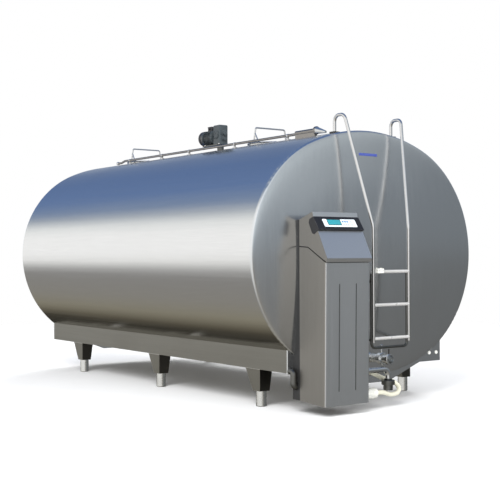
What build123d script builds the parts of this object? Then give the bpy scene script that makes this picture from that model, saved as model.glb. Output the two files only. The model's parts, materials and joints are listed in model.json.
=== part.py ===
"""Horizontal milk cooling tank: an oval insulated shell on two skirt beams and six feet.

Millimetres, +Z up, floor at Z = 0. +X runs along the tank to the end that carries the
control cabinet, the ladder and the outlet. The origin is on the floor, under the middle
of the whole outline. Left and right are seen from the control end: left is -Y.
"""

import math
import os

from build123d import *

os.makedirs("parts", exist_ok=True)

# ---- vessel -------------------------------------------------------------------------
shell_length = 3915.0        # between the rim planes of the two ends
half_width = 1120.0
half_height = 940.0
flank_radius = 893.0         # side arcs of the oval
wall = 60.0                  # inner skin, foam and outer skin together
centre_height = 1149.0       # oval centre above the floor
dish_depth = 80.0            # how far each end bulges
knuckle = 18.0               # rounded rim of each end
knuckle_turn = 70.0          # degrees of the knuckle's arc
dish_flat = 860.0            # in from the edge, where the dish has levelled out
dish_shape = ((0.27, 0.46), (0.52, 0.78))         # shares of dish_flat and of the bulge
dish_start = 0.35            # how strongly the dish follows the knuckle
shell_joints = (13.0, 48.0, 90.0, 132.0, 167.0)   # degrees from the crown, each side
crown_joints = (2759.0, 1618.0)                   # cross joints, behind the front rim plane

# ---- skirt beams and aprons ---------------------------------------------------------
beam_inset = 338.0           # outer face of a beam in from the shell's widest line
beam_width = 116.0
beam_bottom = 283.0
beam_sheet = 6.0
apron_sheet = 12.0
apron_taper = 233.0          # from a beam's face to where the lower edge starts to slope
apron_low_half = 210.0       # half the apron's low flat edge
apron_low = 156.0

# ---- feet ---------------------------------------------------------------------------
foot_spacing = 1464.0
foot_from_rim = 384.0        # front foot centre behind the front rim plane
foot_diameter = 80.0
foot_chamfer = 5.0
foot_insert = 60.0           # how far the tube stands up inside its bracket
bracket_length = 182.0
bracket_sheet = 5.0
bracket_bottom = 118.0
bracket_floor = 10.0

# ---- control cabinet ----------------------------------------------------------------
cabinet_left = 736.0
cabinet_width = 420.0
cabinet_back = 83.0          # front face of the rear frame, before the rim plane
cabinet_front_low = 356.0
cabinet_front_high = 371.0
cabinet_low = 75.0
cabinet_rise = 19.0          # the bottom edge climbs this much to the rear
core_inset = 5.0             # sheet and air between the covers and the inner frame
cover_top_back = 1196.0
cover_shoulder = (179.0, 1190.0)
cover_top_front = 1084.0
slit = 8.0                   # shadow gap between cover and head
lip_reach = 392.0            # the head's lower front edge
lip_height = 27.0
head_top = 1445.0
head_ridge = 230.0
head_back_top = 1394.0
hood_drop = 33.0
bezel_overhang = 2.5         # the black end caps stand off the head's sides
bezel_points = (             # X from the rim plane, depth below the head's top
    (198.0, 52.0), (192.0, 79.0), (229.0, 152.0), (250.0, 160.0), (306.0, 126.0),
)
bezel_top = 242.0            # where the bezel meets the hood, before the rim plane
core_shoulder = 175.0        # the inner frame's shoulder below the head's top
panel_sheet = 2.0
panel_width = 304.0
panel_height = 66.0
panel_corner = 6.0
panel_shift = 8.0            # the panel sits a little right of the cabinet's middle
cover_corner = 14.0
groove_width = 7.0
groove_depth = 2.5
groove_low = 175.0
groove_high = 936.0
groove_offset = 78.0         # each groove from the cover's middle

# ---- ladder -------------------------------------------------------------------------
rail_diameter = 25.0
ladder_reach = 257.0         # rail centres before the rim plane
ladder_half = 180.0
ladder_foot = 490.0
ladder_kink = 1350.0
hook_half = 290.0            # half spacing of the hooks
hook_reach = 66.0            # hook's front leg before the rim plane
hook_rise = 101.0            # top of the rail's bend above the crown
hook_depth = 111.0           # front leg to back leg
hook_bend = 48.0
rung_diameter = 24.0
rung_first = 520.0
rung_pitch = 247.0
rung_count = 3
backing_diameter = 20.0
backing_top = 1000.0
backing_bottom = 450.0
backing_bend = 34.0
standoff_diameter = 20.0
hook_pad = 8.0               # saddle pad between hook and skin
hook_pad_size = 56.0
rail_kink_radius = 120.0
standoff_inset = 60.0        # stand-offs from the backing frame's ends

# ---- fittings on the crown ----------------------------------------------------------
rear_manway_x = 3359.0       # behind the front rim plane
front_manway_x = 1236.0
manway_bore = 350.0
manway_ring = 20.0
manway_ring_proud = 3.0
manway_depth = 22.0          # the ring reaches this far inside the wall
lid_sheet = 10.0
lid_overhang = 3.0
hoop_rod = 13.0
hoop_half_base = 178.0
hoop_half_top = 155.0
hoop_height = 128.0
hoop_bend = 16.0
hoop_splay = 62.0            # the stays' feet along the tank
hoop_stay_base = 172.0
stay_reach = 0.62            # how far up a leg its stay reaches

rail_offset = 225.0          # wash rail's centre from the centre plane
wash_rail_diameter = 22.0
wash_rail_rise = 34.4        # rail's centre above the skin beside it
wash_rail_front = 590.0      # ends behind the front rim plane
wash_rail_rear = 3410.0
wash_rail_tail = 3480.0
wash_rail_drop = 15.0
wash_rail_foot = 80.0
wash_rail_bend = 60.0
rail_post_places = (700.0, 1450.0, 2183.0, 2669.0, 3300.0)
rail_post_diameter = 18.0

agitator_x = 2000.0
agitator_neck_diameter = 62.0
agitator_flange_diameter = 130.0
agitator_flange = 10.0
plate_length = 250.0
plate_width = 130.0
plate_sheet = 9.0
plate_rise = 63.0            # plate's underside above the crown
plate_back = 205.0           # plate's rear edge behind the agitator's axis
gearbox_length = 108.0
gearbox_width = 96.0
gearbox_height = 180.0
gearbox_fillet = 12.0
motor_diameter = 138.0
motor_axis_above_plate = 76.0
motor_length = 150.0
motor_flange_diameter = 120.0
motor_flange = 12.0
fan_cover_length = 62.0
terminal_box = (70.0, 52.0, 34.0)

inlet_pipe_diameter = 38.0
inlet_pipe_front = 345.0
inlet_rise = 40.4            # pipe's centre above the skin beside it
inlet_saddle_width = 26.0
inlet_collar_diameter = 64.0
inlet_collar = 16.0
collar_chamfer = 2.5
inlet_cone_length = 104.0
inlet_cone_small = 20.0
inlet_cone_large = 56.0
inlet_cone_drop = 22.0

# ---- outlet -------------------------------------------------------------------------
outlet_height = 356.0
outlet_bore = 60.0
outlet_tube = 66.0
outlet_ferrule = 82.0
ferrule_sheet = 9.0
outlet_valve_start = 128.0
outlet_valve_length = 40.0
outlet_valve_diameter = 92.0
outlet_reach = 246.0         # open end before the rim plane
valve_disc = 10.0
valve_chamfer = 3.0
ferrule_chamfer = 2.0
clamp_band = 8.0             # clamp's thickness round the joint
clamp_width = 14.0
clamp_play = 0.2             # the clamp's bore is this much wider than the tube
wing_length = 46.0
wing_width = 16.0
wing_sheet = 9.0
wing_lean = 24.0             # degrees from upright

return_pipe_diameter = 42.0
return_pipe_x = 235.0
return_pipe_y = -16.0        # where it turns down
return_pipe_height = 286.0
return_pipe_bend = 50.0
union_top = 204.0
union_diameter = 96.0
union_height = 36.0
union_skirt = 70.0
union_bottom = 130.0

hose_diameter = 34.0
hose_fill = 0.45             # share of a run that each of its arcs may take
hose_start_x = 166.0
hose_start_height = 343.0
hose_fall = 0.43             # slope of the first run
hose_route = (               # X from the rim plane, Y, Z
    (166.0, 0.0, 207.0), (178.0, 92.0, 180.0), (200.0, 134.0, 138.0),
    (222.0, 98.0, 98.0), (234.0, 14.0, 90.0),
)
fitting_diameter = 75.0
fitting_height = 118.0
fitting_x = 238.0
fitting_end = -150.0
fitting_run = 78.0           # straight hose before the fitting

service_pipe_diameter = 46.0
service_pipe_bend = 26.0
service_pipe_x = 44.0
service_pipe_gap = 5.0       # from the cabinet's side
service_pipe_top = 300.0
service_pipe_low = 190.0

# ---- values worked out from the driving dimensions ----------------------------------
flank_offset = half_width - flank_radius
crown_radius = (flank_offset ** 2 + half_height ** 2 - flank_radius ** 2) / (
    2 * (half_height - flank_radius)
)
crown_offset = crown_radius - half_height
arc_joint = math.degrees(math.atan2(flank_offset, crown_offset))
crown_height = centre_height + half_height
beam_face = half_width - beam_inset
apron_shelf = beam_face - apron_taper

overall_front = lip_reach
overall_rear = shell_length + dish_depth
rim_x = (overall_rear - overall_front) / 2       # front rim plane in the model's frame
rear_rim_x = rim_x - shell_length


def oval_point(side, angle, out=0.0):
    """A point (Y, Z) of the oval, angle in degrees from the crown, out beyond the skin."""
    a = math.radians(angle)
    if angle <= arc_joint:
        cy, cz, radius = 0.0, -crown_offset, crown_radius
    elif angle < 180 - arc_joint:
        cy, cz, radius = flank_offset, 0.0, flank_radius
    else:
        cy, cz, radius = 0.0, crown_offset, crown_radius
    y = cy + (radius + out) * math.sin(a)
    z = cz + (radius + out) * math.cos(a)
    return (side * y, centre_height + z)


def crown_z(y):
    """Height of the outer skin near the crown at a distance y from the centre plane."""
    return centre_height - crown_offset + math.sqrt(crown_radius ** 2 - y ** 2)


def belly_z(y):
    """Height of the outer skin's underside, out on the flank arc."""
    return centre_height - math.sqrt(flank_radius ** 2 - (abs(y) - flank_offset) ** 2)


def oval(out):
    """The filled oval as a sketch, out beyond the skin."""
    low = 180 - arc_joint
    with BuildSketch() as face:
        with BuildLine():
            ThreePointArc(oval_point(-1, arc_joint, out), oval_point(1, 0, out),
                          oval_point(1, arc_joint, out))
            ThreePointArc(oval_point(1, arc_joint, out), oval_point(1, 90, out),
                          oval_point(1, low, out))
            ThreePointArc(oval_point(1, low, out), oval_point(1, 180, out),
                          oval_point(-1, low, out))
            ThreePointArc(oval_point(-1, low, out), oval_point(-1, 90, out),
                          oval_point(-1, arc_joint, out))
        make_face()
    return face.sketch


def save(part, name):
    """Label a finished piece and write it as its own node."""
    part.label = name
    export_step(part, f"parts/{name}.step")


def round_x(x0, x1, y, z, diameter, mode=Mode.ADD):
    """A round bar or hole along X in the current part."""
    with Locations(((x0 + x1) / 2, y, z)):
        Cylinder(diameter / 2, abs(x1 - x0), rotation=(0, 90, 0), mode=mode)


def round_y(x, y0, y1, z, diameter, mode=Mode.ADD):
    """A round bar or hole along Y in the current part."""
    with Locations((x, (y0 + y1) / 2, z)):
        Cylinder(diameter / 2, abs(y1 - y0), rotation=(90, 0, 0), mode=mode)


def round_z(x, y, z0, z1, diameter, mode=Mode.ADD):
    """An upright round bar or hole in the current part."""
    with Locations((x, y, (z0 + z1) / 2)):
        Cylinder(diameter / 2, abs(z1 - z0), mode=mode)


def rod(start, end, diameter):
    """A straight round bar between two points, added to the current part."""
    run = Vector(*end) - Vector(*start)
    with Locations(Plane(origin=start, z_dir=run)):
        Cylinder(diameter / 2, run.length, align=(Align.CENTER, Align.CENTER, Align.MIN))


# ---- ends ---------------------------------------------------------------------------
def dished_end(rim, toward):
    """A convex end on the rim plane: a rounded knuckle, then a shallow dish.

    The bulge depends only on the distance in from the edge of the oval, so each arc of
    the oval carries a piece turned about that arc's own centre, and the pieces meet flush.
    """
    bulge = dish_depth - knuckle
    arcs = (
        (0.0, -crown_offset, crown_radius, -arc_joint, arc_joint),
        (flank_offset, 0.0, flank_radius, arc_joint, 180 - arc_joint),
        (0.0, crown_offset, crown_radius, 180 - arc_joint, 180 + arc_joint),
        (-flank_offset, 0.0, flank_radius, 180 + arc_joint, 360 - arc_joint),
    )
    with BuildPart() as end:
        with BuildSketch(Plane.YZ.offset(rim)):
            add(oval(-dish_flat))
        extrude(amount=toward * dish_depth)
        for cy, cz, radius, first, last in arcs:
            a = math.radians(first)
            centre = (rim, cy, centre_height + cz)
            spoke = Vector(0, math.sin(a), math.cos(a))
            section = Plane(origin=centre, x_dir=spoke, z_dir=spoke.cross(Vector(toward, 0, 0)))
            with BuildSketch(section):
                with BuildLine():
                    rim_line = CenterArc((radius - knuckle, 0), knuckle, 0, knuckle_turn)
                    dish_line = Spline(
                        rim_line @ 1,
                        *[(radius - dish_flat * inward, knuckle + bulge * rise)
                          for inward, rise in dish_shape],
                        (radius - dish_flat, dish_depth),
                        tangents=[rim_line % 1, (-1, 0)],
                        tangent_scalars=[dish_start, 1],
                    )
                    Polyline(dish_line @ 1, (radius - dish_flat, 0), rim_line @ 0)
                make_face()
            revolve(axis=Axis(centre, (-1, 0, 0)), revolution_arc=last - first)
    return end.part


front_dish = dished_end(rim_x, 1)
rear_dish = dished_end(rear_rim_x, -1)

with BuildPart() as front_end:
    add(front_dish)
    round_x(rim_x - 1, rim_x + 2 * dish_depth, 0, outlet_height, outlet_tube, Mode.SUBTRACT)
save(front_end.part, "front_end")

with BuildPart() as rear_end:
    add(rear_dish)
save(rear_end.part, "rear_end")


# ---- shell --------------------------------------------------------------------------
def shell_segment(first, last, rear=rear_rim_x, front=rim_x):
    """One curved strip of wall between two joints, full length unless told otherwise."""
    beyond = flank_radius / 2
    behind = wall + knuckle
    with BuildPart() as segment:
        with BuildSketch(Plane.YZ.offset(rear)):
            add(oval(0))
            add(oval(-wall), mode=Mode.SUBTRACT)
            with BuildSketch(mode=Mode.INTERSECT):
                with BuildLine():
                    Polyline(
                        oval_point(*first, beyond), oval_point(*last, beyond),
                        oval_point(*last, -behind), oval_point(*first, -behind), close=True,
                    )
                make_face()
        extrude(amount=front - rear)
    return segment.part


manway_hole = manway_bore + 2 * manway_ring
manway_places = (rim_x - rear_manway_x, rim_x - front_manway_x)
axis_x = rim_x - agitator_x

crown_cuts = [rear_rim_x, *[rim_x - joint for joint in crown_joints], rim_x]
crown_names = ("rear", "middle", "front")
for crown_name, rear, front in zip(crown_names, crown_cuts, crown_cuts[1:]):
    with BuildPart() as shell_crown:
        add(shell_segment((-1, shell_joints[0]), (1, shell_joints[0]), rear, front))
        for x in manway_places:
            round_z(x, 0, crown_height - 3 * wall, crown_height + wall, manway_hole,
                    Mode.SUBTRACT)
        round_z(axis_x, 0, crown_height - 3 * wall, crown_height + wall,
                agitator_neck_diameter, Mode.SUBTRACT)
    save(shell_crown.part, f"shell_crown_{crown_name}")

with BuildPart() as shell_belly:
    add(shell_segment((1, shell_joints[-1]), (-1, shell_joints[-1])))
save(shell_belly.part, "shell_belly")

strip_names = ("shoulder", "upper_flank", "lower_flank", "haunch")
for side_name, side in (("left", -1), ("right", 1)):
    for index, strip_name in enumerate(strip_names):
        with BuildPart() as shell_strip:
            add(shell_segment((side, shell_joints[index]), (side, shell_joints[index + 1])))
        save(shell_strip.part, f"shell_{side_name}_{strip_name}")

# ---- skirt beams and aprons ---------------------------------------------------------
beam_top = belly_z(beam_face)
beam_rear_x = rear_rim_x + apron_sheet
beam_length = shell_length - 2 * apron_sheet

for side_name, side in (("left", -1), ("right", 1)):
    middle = side * (beam_face - beam_width / 2)
    with BuildPart() as beam:
        with BuildSketch(Plane.YZ.offset(beam_rear_x)):
            with Locations((middle, beam_bottom)):
                Rectangle(beam_width, beam_top - beam_bottom,
                          align=(Align.CENTER, Align.MIN))
            with Locations((middle, beam_bottom + beam_sheet)):
                Rectangle(beam_width - 2 * beam_sheet, beam_top,
                          align=(Align.CENTER, Align.MIN), mode=Mode.SUBTRACT)
            add(oval(0), mode=Mode.SUBTRACT)
        extrude(amount=beam_length)
    save(beam.part, f"{side_name}_beam")


def apron(x0):
    """The flat plate under an end, from skirt to skirt."""
    with BuildPart() as plate:
        with BuildSketch(Plane.YZ.offset(x0)):
            with BuildLine():
                Polyline(
                    (-beam_face, beam_top), (-beam_face, beam_bottom),
                    (-apron_shelf, beam_bottom), (-apron_low_half, apron_low),
                    (apron_low_half, apron_low), (apron_shelf, beam_bottom),
                    (beam_face, beam_bottom), (beam_face, beam_top), close=True,
                )
            make_face()
            add(oval(0), mode=Mode.SUBTRACT)
        extrude(amount=apron_sheet)
    return plate.part


with BuildPart() as front_apron:
    add(apron(rim_x - apron_sheet))
save(front_apron.part, "front_apron")

with BuildPart() as rear_apron:
    add(apron(rear_rim_x))
save(rear_apron.part, "rear_apron")

# ---- feet ---------------------------------------------------------------------------
foot_socket = foot_diameter + 2 * bracket_sheet
foot_places = [rim_x - foot_from_rim - n * foot_spacing for n in range(3)]


def bracket_taper(x_front, side, inset):
    """The bracket's taper from the beam down to the tube, shrunk by inset all round."""
    with BuildPart() as taper:
        for z, length, width in ((beam_bottom, bracket_length, beam_width),
                                 (bracket_bottom, foot_socket, foot_socket)):
            with BuildSketch(Plane.XY.offset(z)):
                with Locations((x_front - length / 2, side * (beam_face - width / 2))):
                    Rectangle(length - 2 * inset, width - 2 * inset)
        loft()
    return taper.part


def foot_bracket(foot_x, side):
    """A hollow bracket under the beam, open at the top, with a floor round the tube."""
    foot_y = side * (beam_face - foot_socket / 2)
    corner_x = foot_x + foot_socket / 2
    with BuildPart() as bracket:
        add(bracket_taper(corner_x, side, 0))
        add(bracket_taper(corner_x, side, bracket_sheet), mode=Mode.SUBTRACT)
        with Locations((foot_x, foot_y, bracket_bottom + bracket_floor / 2)):
            Box(foot_socket - bracket_sheet, foot_socket - bracket_sheet, bracket_floor)
        round_z(foot_x, foot_y, bracket_bottom - 1, beam_bottom, foot_diameter, Mode.SUBTRACT)
    return bracket.part


with BuildPart() as foot_brackets:
    for side in (-1, 1):
        for foot_x in foot_places:
            add(foot_bracket(foot_x, side))
save(foot_brackets.part, "foot_brackets")

with BuildPart() as feet:
    for side in (-1, 1):
        for foot_x in foot_places:
            round_z(foot_x, side * (beam_face - foot_socket / 2), 0, bracket_bottom + foot_insert,
                    foot_diameter)
    chamfer(feet.edges().group_by(Axis.Z)[0], foot_chamfer)
save(feet.part, "feet")

# ---- control cabinet ----------------------------------------------------------------
cabinet_right_y = -cabinet_left + cabinet_width
cabinet_mid_y = -cabinet_left + cabinet_width / 2


def cabinet_profile(points, y0, width):
    """A prism along Y with an outline in the XZ plane, X counted from the rim plane."""
    with BuildPart() as prism:
        with BuildSketch(Plane.XZ.offset(-y0)):
            with BuildLine():
                Polyline(*[(rim_x + x, z) for x, z in points], close=True)
            make_face()
        extrude(amount=-width)
    return prism.part


front_lean = (cabinet_front_high - cabinet_front_low) / (cover_top_front - cabinet_low)


def cover_front(z):
    """Where the leaning front of the cover stands at height z, before the rim plane."""
    return cabinet_front_low + front_lean * (z - cabinet_low)


cover_outline = [
    (cabinet_back, cabinet_low + cabinet_rise), (cabinet_front_low, cabinet_low),
    (cabinet_front_high, cover_top_front), cover_shoulder, (cabinet_back, cover_top_back),
]
head_outline = [
    (cabinet_back, cover_top_back + slit),
    (cover_shoulder[0] + slit / 4, cover_shoulder[1] + slit),
    (lip_reach - slit, cover_top_front + slit / 2),
    (lip_reach, cover_top_front + slit / 2 + lip_height),
    (head_ridge + slit, head_top - hood_drop), (head_ridge, head_top),
    (cabinet_back, head_back_top),
]
bezel_outline = [(x, head_top - depth) for x, depth in bezel_points]
bezel_outline.append((bezel_top, head_top - hood_drop))
bezel_low, bezel_high = bezel_outline[-2:]
core_outline = [
    (cabinet_back, cabinet_low + cabinet_rise + core_inset),
    (cabinet_front_low - core_inset, cabinet_low + core_inset),
    (cabinet_front_high - core_inset, cover_top_front - core_inset),
    (head_ridge - core_inset, head_top - core_shoulder),
    (head_ridge - 3 * core_inset, head_top - 3 * core_inset),
    (cabinet_back, head_back_top - core_inset),
]

with BuildPart() as cabinet_frame:
    with Locations((rim_x, cabinet_mid_y, cabinet_low + cabinet_rise)):
        Box(cabinet_back, cabinet_width, head_back_top - cabinet_low - cabinet_rise,
            align=(Align.MIN, Align.CENTER, Align.MIN))
    add(front_dish, mode=Mode.SUBTRACT)
    add(cabinet_profile(core_outline, -cabinet_left + core_inset,
                        cabinet_width - 2 * core_inset))
save(cabinet_frame.part, "cabinet_frame")

with BuildPart() as cabinet_cover:
    add(cabinet_profile(cover_outline, -cabinet_left, cabinet_width))
    front_edges = cabinet_cover.edges().filter_by(Axis.Z, tolerance=2).group_by(Axis.X)[-1]
    fillet(front_edges, cover_corner)
    add(cabinet_frame.part, mode=Mode.SUBTRACT)
    for offset_y in (-groove_offset, groove_offset):
        groove_outline = [
            (cover_front(groove_low) - groove_depth, groove_low),
            (cover_front(groove_low) + groove_depth, groove_low),
            (cover_front(groove_high) + groove_depth, groove_high),
            (cover_front(groove_high) - groove_depth, groove_high),
        ]
        add(cabinet_profile(groove_outline, cabinet_mid_y + offset_y - groove_width / 2,
                            groove_width), mode=Mode.SUBTRACT)
save(cabinet_cover.part, "cabinet_cover")

with BuildPart() as cabinet_head:
    add(cabinet_profile(head_outline, -cabinet_left, cabinet_width))
    add(cabinet_profile(bezel_outline, -cabinet_left, cabinet_width), mode=Mode.SUBTRACT)
    add(cabinet_frame.part, mode=Mode.SUBTRACT)
save(cabinet_head.part, "cabinet_head")

with BuildPart() as display_bezel:
    add(cabinet_profile(bezel_outline, -cabinet_left - bezel_overhang,
                        cabinet_width + 2 * bezel_overhang))
    add(cabinet_frame.part, mode=Mode.SUBTRACT)
save(display_bezel.part, "display_bezel")

bezel_fall = Vector(bezel_low[0] - bezel_high[0], 0, bezel_low[1] - bezel_high[1])
bezel_middle = Vector(rim_x + (bezel_low[0] + bezel_high[0]) / 2, cabinet_mid_y + panel_shift,
                      (bezel_low[1] + bezel_high[1]) / 2)
bezel_plane = Plane(origin=bezel_middle, x_dir=(0, 1, 0), z_dir=Vector(0, 1, 0).cross(-bezel_fall))

with BuildPart() as display_panel:
    with BuildSketch(bezel_plane):
        RectangleRounded(panel_width, panel_height, panel_corner)
    extrude(amount=panel_sheet)
save(display_panel.part, "display_panel")

# ---- ladder -------------------------------------------------------------------------
ladder_x = rim_x + ladder_reach
hook_front_x = rim_x + hook_reach
hook_back_x = hook_front_x - hook_depth
hook_top = crown_height + hook_rise
hook_land = crown_z(hook_half)

for side_name, side in (("left", -1), ("right", 1)):
    with BuildPart() as ladder_rail:
        with BuildLine() as rail_path:
            FilletPolyline(
                (ladder_x, side * ladder_half, ladder_foot),
                (ladder_x, side * ladder_half, ladder_kink),
                (hook_front_x, side * hook_half, hook_top),
                (hook_back_x, side * hook_half, hook_top),
                (hook_back_x, side * hook_half, hook_land + hook_pad),
                radius=(rail_kink_radius, hook_bend, hook_bend),
            )
        with BuildSketch(Plane(origin=rail_path.line @ 0, z_dir=rail_path.line % 0)):
            Circle(rail_diameter / 2)
        sweep()
    save(ladder_rail.part, f"ladder_{side_name}_rail")

with BuildPart() as hook_pads:
    for side in (-1, 1):
        with Locations((hook_back_x, side * hook_half, hook_land + hook_pad)):
            Box(hook_pad_size, hook_pad_size, 2 * wall, align=(Align.CENTER, Align.CENTER, Align.MAX))
    with BuildSketch(Plane.YZ.offset(rear_rim_x)):
        add(oval(0))
    extrude(amount=shell_length, mode=Mode.SUBTRACT)
save(hook_pads.part, "ladder_hook_pads")

rung_heights = [rung_first + n * rung_pitch for n in range(rung_count)]
with BuildPart() as ladder_rungs:
    for z in rung_heights:
        round_y(ladder_x, -ladder_half, ladder_half, z, rung_diameter)
    for side in (-1, 1):
        round_z(ladder_x, side * ladder_half, ladder_foot, ladder_kink, rail_diameter,
                Mode.SUBTRACT)
save(ladder_rungs.part, "ladder_rungs")

backing_x = ladder_x - (rail_diameter + backing_diameter) / 2
standoff_heights = (backing_bottom + standoff_inset, backing_top - standoff_inset)
with BuildPart() as ladder_backing:
    with BuildLine() as backing_path:
        FilletPolyline(
            (backing_x, -ladder_half, backing_top), (backing_x, -ladder_half, backing_bottom),
            (backing_x, ladder_half, backing_bottom), (backing_x, ladder_half, backing_top),
            radius=backing_bend,
        )
    with BuildSketch(Plane(origin=backing_path.line @ 0, z_dir=backing_path.line % 0)):
        Circle(backing_diameter / 2)
    sweep()
    for side in (-1, 1):
        for z in standoff_heights:
            round_x(rim_x, backing_x, side * ladder_half, z, standoff_diameter)
    add(front_dish, mode=Mode.SUBTRACT)
save(ladder_backing.part, "ladder_backing")

# ---- manways ------------------------------------------------------------------------
lid_seat = crown_height + manway_ring_proud
lid_diameter = manway_hole + 2 * lid_overhang
hoop_foot = lid_seat + lid_sheet
hoop_crest = hoop_foot + hoop_height
stay_meets = hoop_foot + stay_reach * hoop_height

with BuildPart() as manway_rings:
    for x in manway_places:
        round_z(x, 0, crown_height - wall - manway_depth, lid_seat, manway_hole)
        round_z(x, 0, crown_height - 3 * wall, lid_seat + 1, manway_bore, Mode.SUBTRACT)
save(manway_rings.part, "manway_rings")

with BuildPart() as manway_lids:
    for x in manway_places:
        round_z(x, 0, lid_seat, lid_seat + lid_sheet, lid_diameter)
    fillet(manway_lids.edges().group_by(Axis.Z)[-1], lid_sheet / 2)
save(manway_lids.part, "manway_lids")


def lid_hoop(x):
    """A bent rod across the lid, with a stay towards the control end on each leg."""
    with BuildPart() as hoop:
        with BuildLine() as hoop_path:
            FilletPolyline(
                (x, -hoop_half_base, hoop_foot), (x, -hoop_half_top, hoop_crest),
                (x, hoop_half_top, hoop_crest), (x, hoop_half_base, hoop_foot),
                radius=hoop_bend,
            )
        with BuildSketch(Plane(origin=hoop_path.line @ 0, z_dir=hoop_path.line % 0)):
            Circle(hoop_rod / 2)
        sweep()
        for side in (-1, 1):
            leg_y = hoop_half_base + stay_reach * (hoop_half_top - hoop_half_base)
            rod((x + hoop_splay, side * hoop_stay_base, hoop_foot), (x, side * leg_y, stay_meets),
                hoop_rod)
        with Locations((x, 0, hoop_foot)):
            Box(4 * hoop_splay, 2 * lid_diameter, hoop_height,
                align=(Align.CENTER, Align.CENTER, Align.MAX), mode=Mode.SUBTRACT)
    return hoop.part


with BuildPart() as lid_hoops:
    for x in manway_places:
        add(lid_hoop(x))
save(lid_hoops.part, "lid_hoops")

# ---- wash rail ----------------------------------------------------------------------
wash_start_x = rim_x - wash_rail_front
wash_rail_height = crown_z(rail_offset) + wash_rail_rise
with BuildPart() as wash_rail:
    for place in rail_post_places:
        round_z(rim_x - place, -rail_offset, crown_z(rail_offset) - wall, wash_rail_height,
                rail_post_diameter)
    with BuildSketch(Plane.YZ.offset(rear_rim_x)):
        add(oval(0))
    extrude(amount=shell_length, mode=Mode.SUBTRACT)
    with BuildLine() as wash_path:
        FilletPolyline(
            (wash_start_x, -rail_offset, wash_rail_height),
            (rim_x - wash_rail_rear, -rail_offset, wash_rail_height),
            (rim_x - wash_rail_tail, -rail_offset, wash_rail_height - wash_rail_drop),
            (rim_x - wash_rail_tail - wash_rail_foot, -rail_offset,
             wash_rail_height - wash_rail_drop),
            radius=wash_rail_bend,
        )
    with BuildSketch(Plane(origin=wash_path.line @ 0, z_dir=wash_path.line % 0)):
        Circle(wash_rail_diameter / 2)
    sweep()
save(wash_rail.part, "wash_rail")

# ---- wash inlet ---------------------------------------------------------------------
inlet_end_x = rim_x - inlet_pipe_front
inlet_height = crown_z(rail_offset) + inlet_rise
with BuildPart() as wash_inlet:
    with Locations(((wash_start_x + inlet_end_x) / 2, -rail_offset, inlet_height)):
        Box(inlet_end_x - wash_start_x, inlet_saddle_width, 2 * wall,
            align=(Align.CENTER, Align.CENTER, Align.MAX))
    with BuildSketch(Plane.YZ.offset(rear_rim_x)):
        add(oval(0))
    extrude(amount=shell_length, mode=Mode.SUBTRACT)
    round_x(wash_start_x, inlet_end_x, -rail_offset, inlet_height, inlet_pipe_diameter)
    round_x(inlet_end_x, inlet_end_x + inlet_collar, -rail_offset, inlet_height,
            inlet_collar_diameter)
    chamfer(wash_inlet.faces().sort_by(Axis.X)[-1].edges(), collar_chamfer)
save(wash_inlet.part, "wash_inlet")

with BuildPart() as inlet_cone:
    with BuildSketch(Plane.YZ.offset(inlet_end_x + inlet_collar)):
        with Locations((-rail_offset, inlet_height)):
            Circle(inlet_cone_large / 2)
    with BuildSketch(Plane.YZ.offset(inlet_end_x + inlet_collar + inlet_cone_length)):
        with Locations((-rail_offset, inlet_height - inlet_cone_drop)):
            Circle(inlet_cone_small / 2)
    loft()
save(inlet_cone.part, "wash_inlet_cone")

# ---- agitator drive -----------------------------------------------------------------
plate_height = crown_height + plate_rise
plate_top = plate_height + plate_sheet
with BuildPart() as agitator_base:
    round_z(axis_x, 0, crown_height - wall, crown_height + agitator_flange,
            agitator_flange_diameter)
    with BuildSketch(Plane.YZ.offset(rear_rim_x)):
        add(oval(0))
    extrude(amount=shell_length, mode=Mode.SUBTRACT)
    round_z(axis_x, 0, crown_height - wall - manway_depth, plate_height, agitator_neck_diameter)
    with Locations((axis_x - plate_back, 0, plate_height)):
        Box(plate_length, plate_width, plate_sheet, align=(Align.MIN, Align.CENTER, Align.MIN))
save(agitator_base.part, "agitator_base")

with BuildPart() as gearbox:
    with Locations((axis_x, 0, plate_top)):
        Box(gearbox_length, gearbox_width, gearbox_height,
            align=(Align.CENTER, Align.CENTER, Align.MIN))
    fillet(gearbox.edges().filter_by(Axis.Z), gearbox_fillet)
    fillet(gearbox.edges().group_by(Axis.Z)[-1], gearbox_fillet)
save(gearbox.part, "agitator_gearbox")

motor_z = plate_top + motor_axis_above_plate
motor_front_x = axis_x - gearbox_length / 2
motor_back_x = motor_front_x - motor_flange - motor_length
box_x, box_y, box_z = terminal_box
with BuildPart() as motor:
    with Locations((motor_back_x + motor_length / 2, 0, motor_z)):
        Box(box_x, box_y, motor_diameter / 2 + box_z,
            align=(Align.CENTER, Align.CENTER, Align.MIN))
    round_x(motor_back_x, motor_front_x - motor_flange, 0, motor_z, motor_diameter)
    round_x(motor_front_x - motor_flange, motor_front_x, 0, motor_z, motor_flange_diameter)
save(motor.part, "agitator_motor")

with BuildPart() as fan_cover:
    round_x(motor_back_x - fan_cover_length, motor_back_x, 0, motor_z, motor_diameter)
    fillet(fan_cover.faces().sort_by(Axis.X)[0].edges(), gearbox_fillet)
save(fan_cover.part, "agitator_fan_cover")

# ---- outlet -------------------------------------------------------------------------
valve_x0 = rim_x + outlet_valve_start
valve_x1 = valve_x0 + outlet_valve_length
outlet_x = rim_x + outlet_reach
with BuildPart() as outlet_pipe:
    round_x(rim_x, valve_x0, 0, outlet_height, outlet_tube)
    round_x(rim_x - 1, valve_x0 + 1, 0, outlet_height, outlet_bore, Mode.SUBTRACT)
save(outlet_pipe.part, "outlet_pipe")

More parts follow.
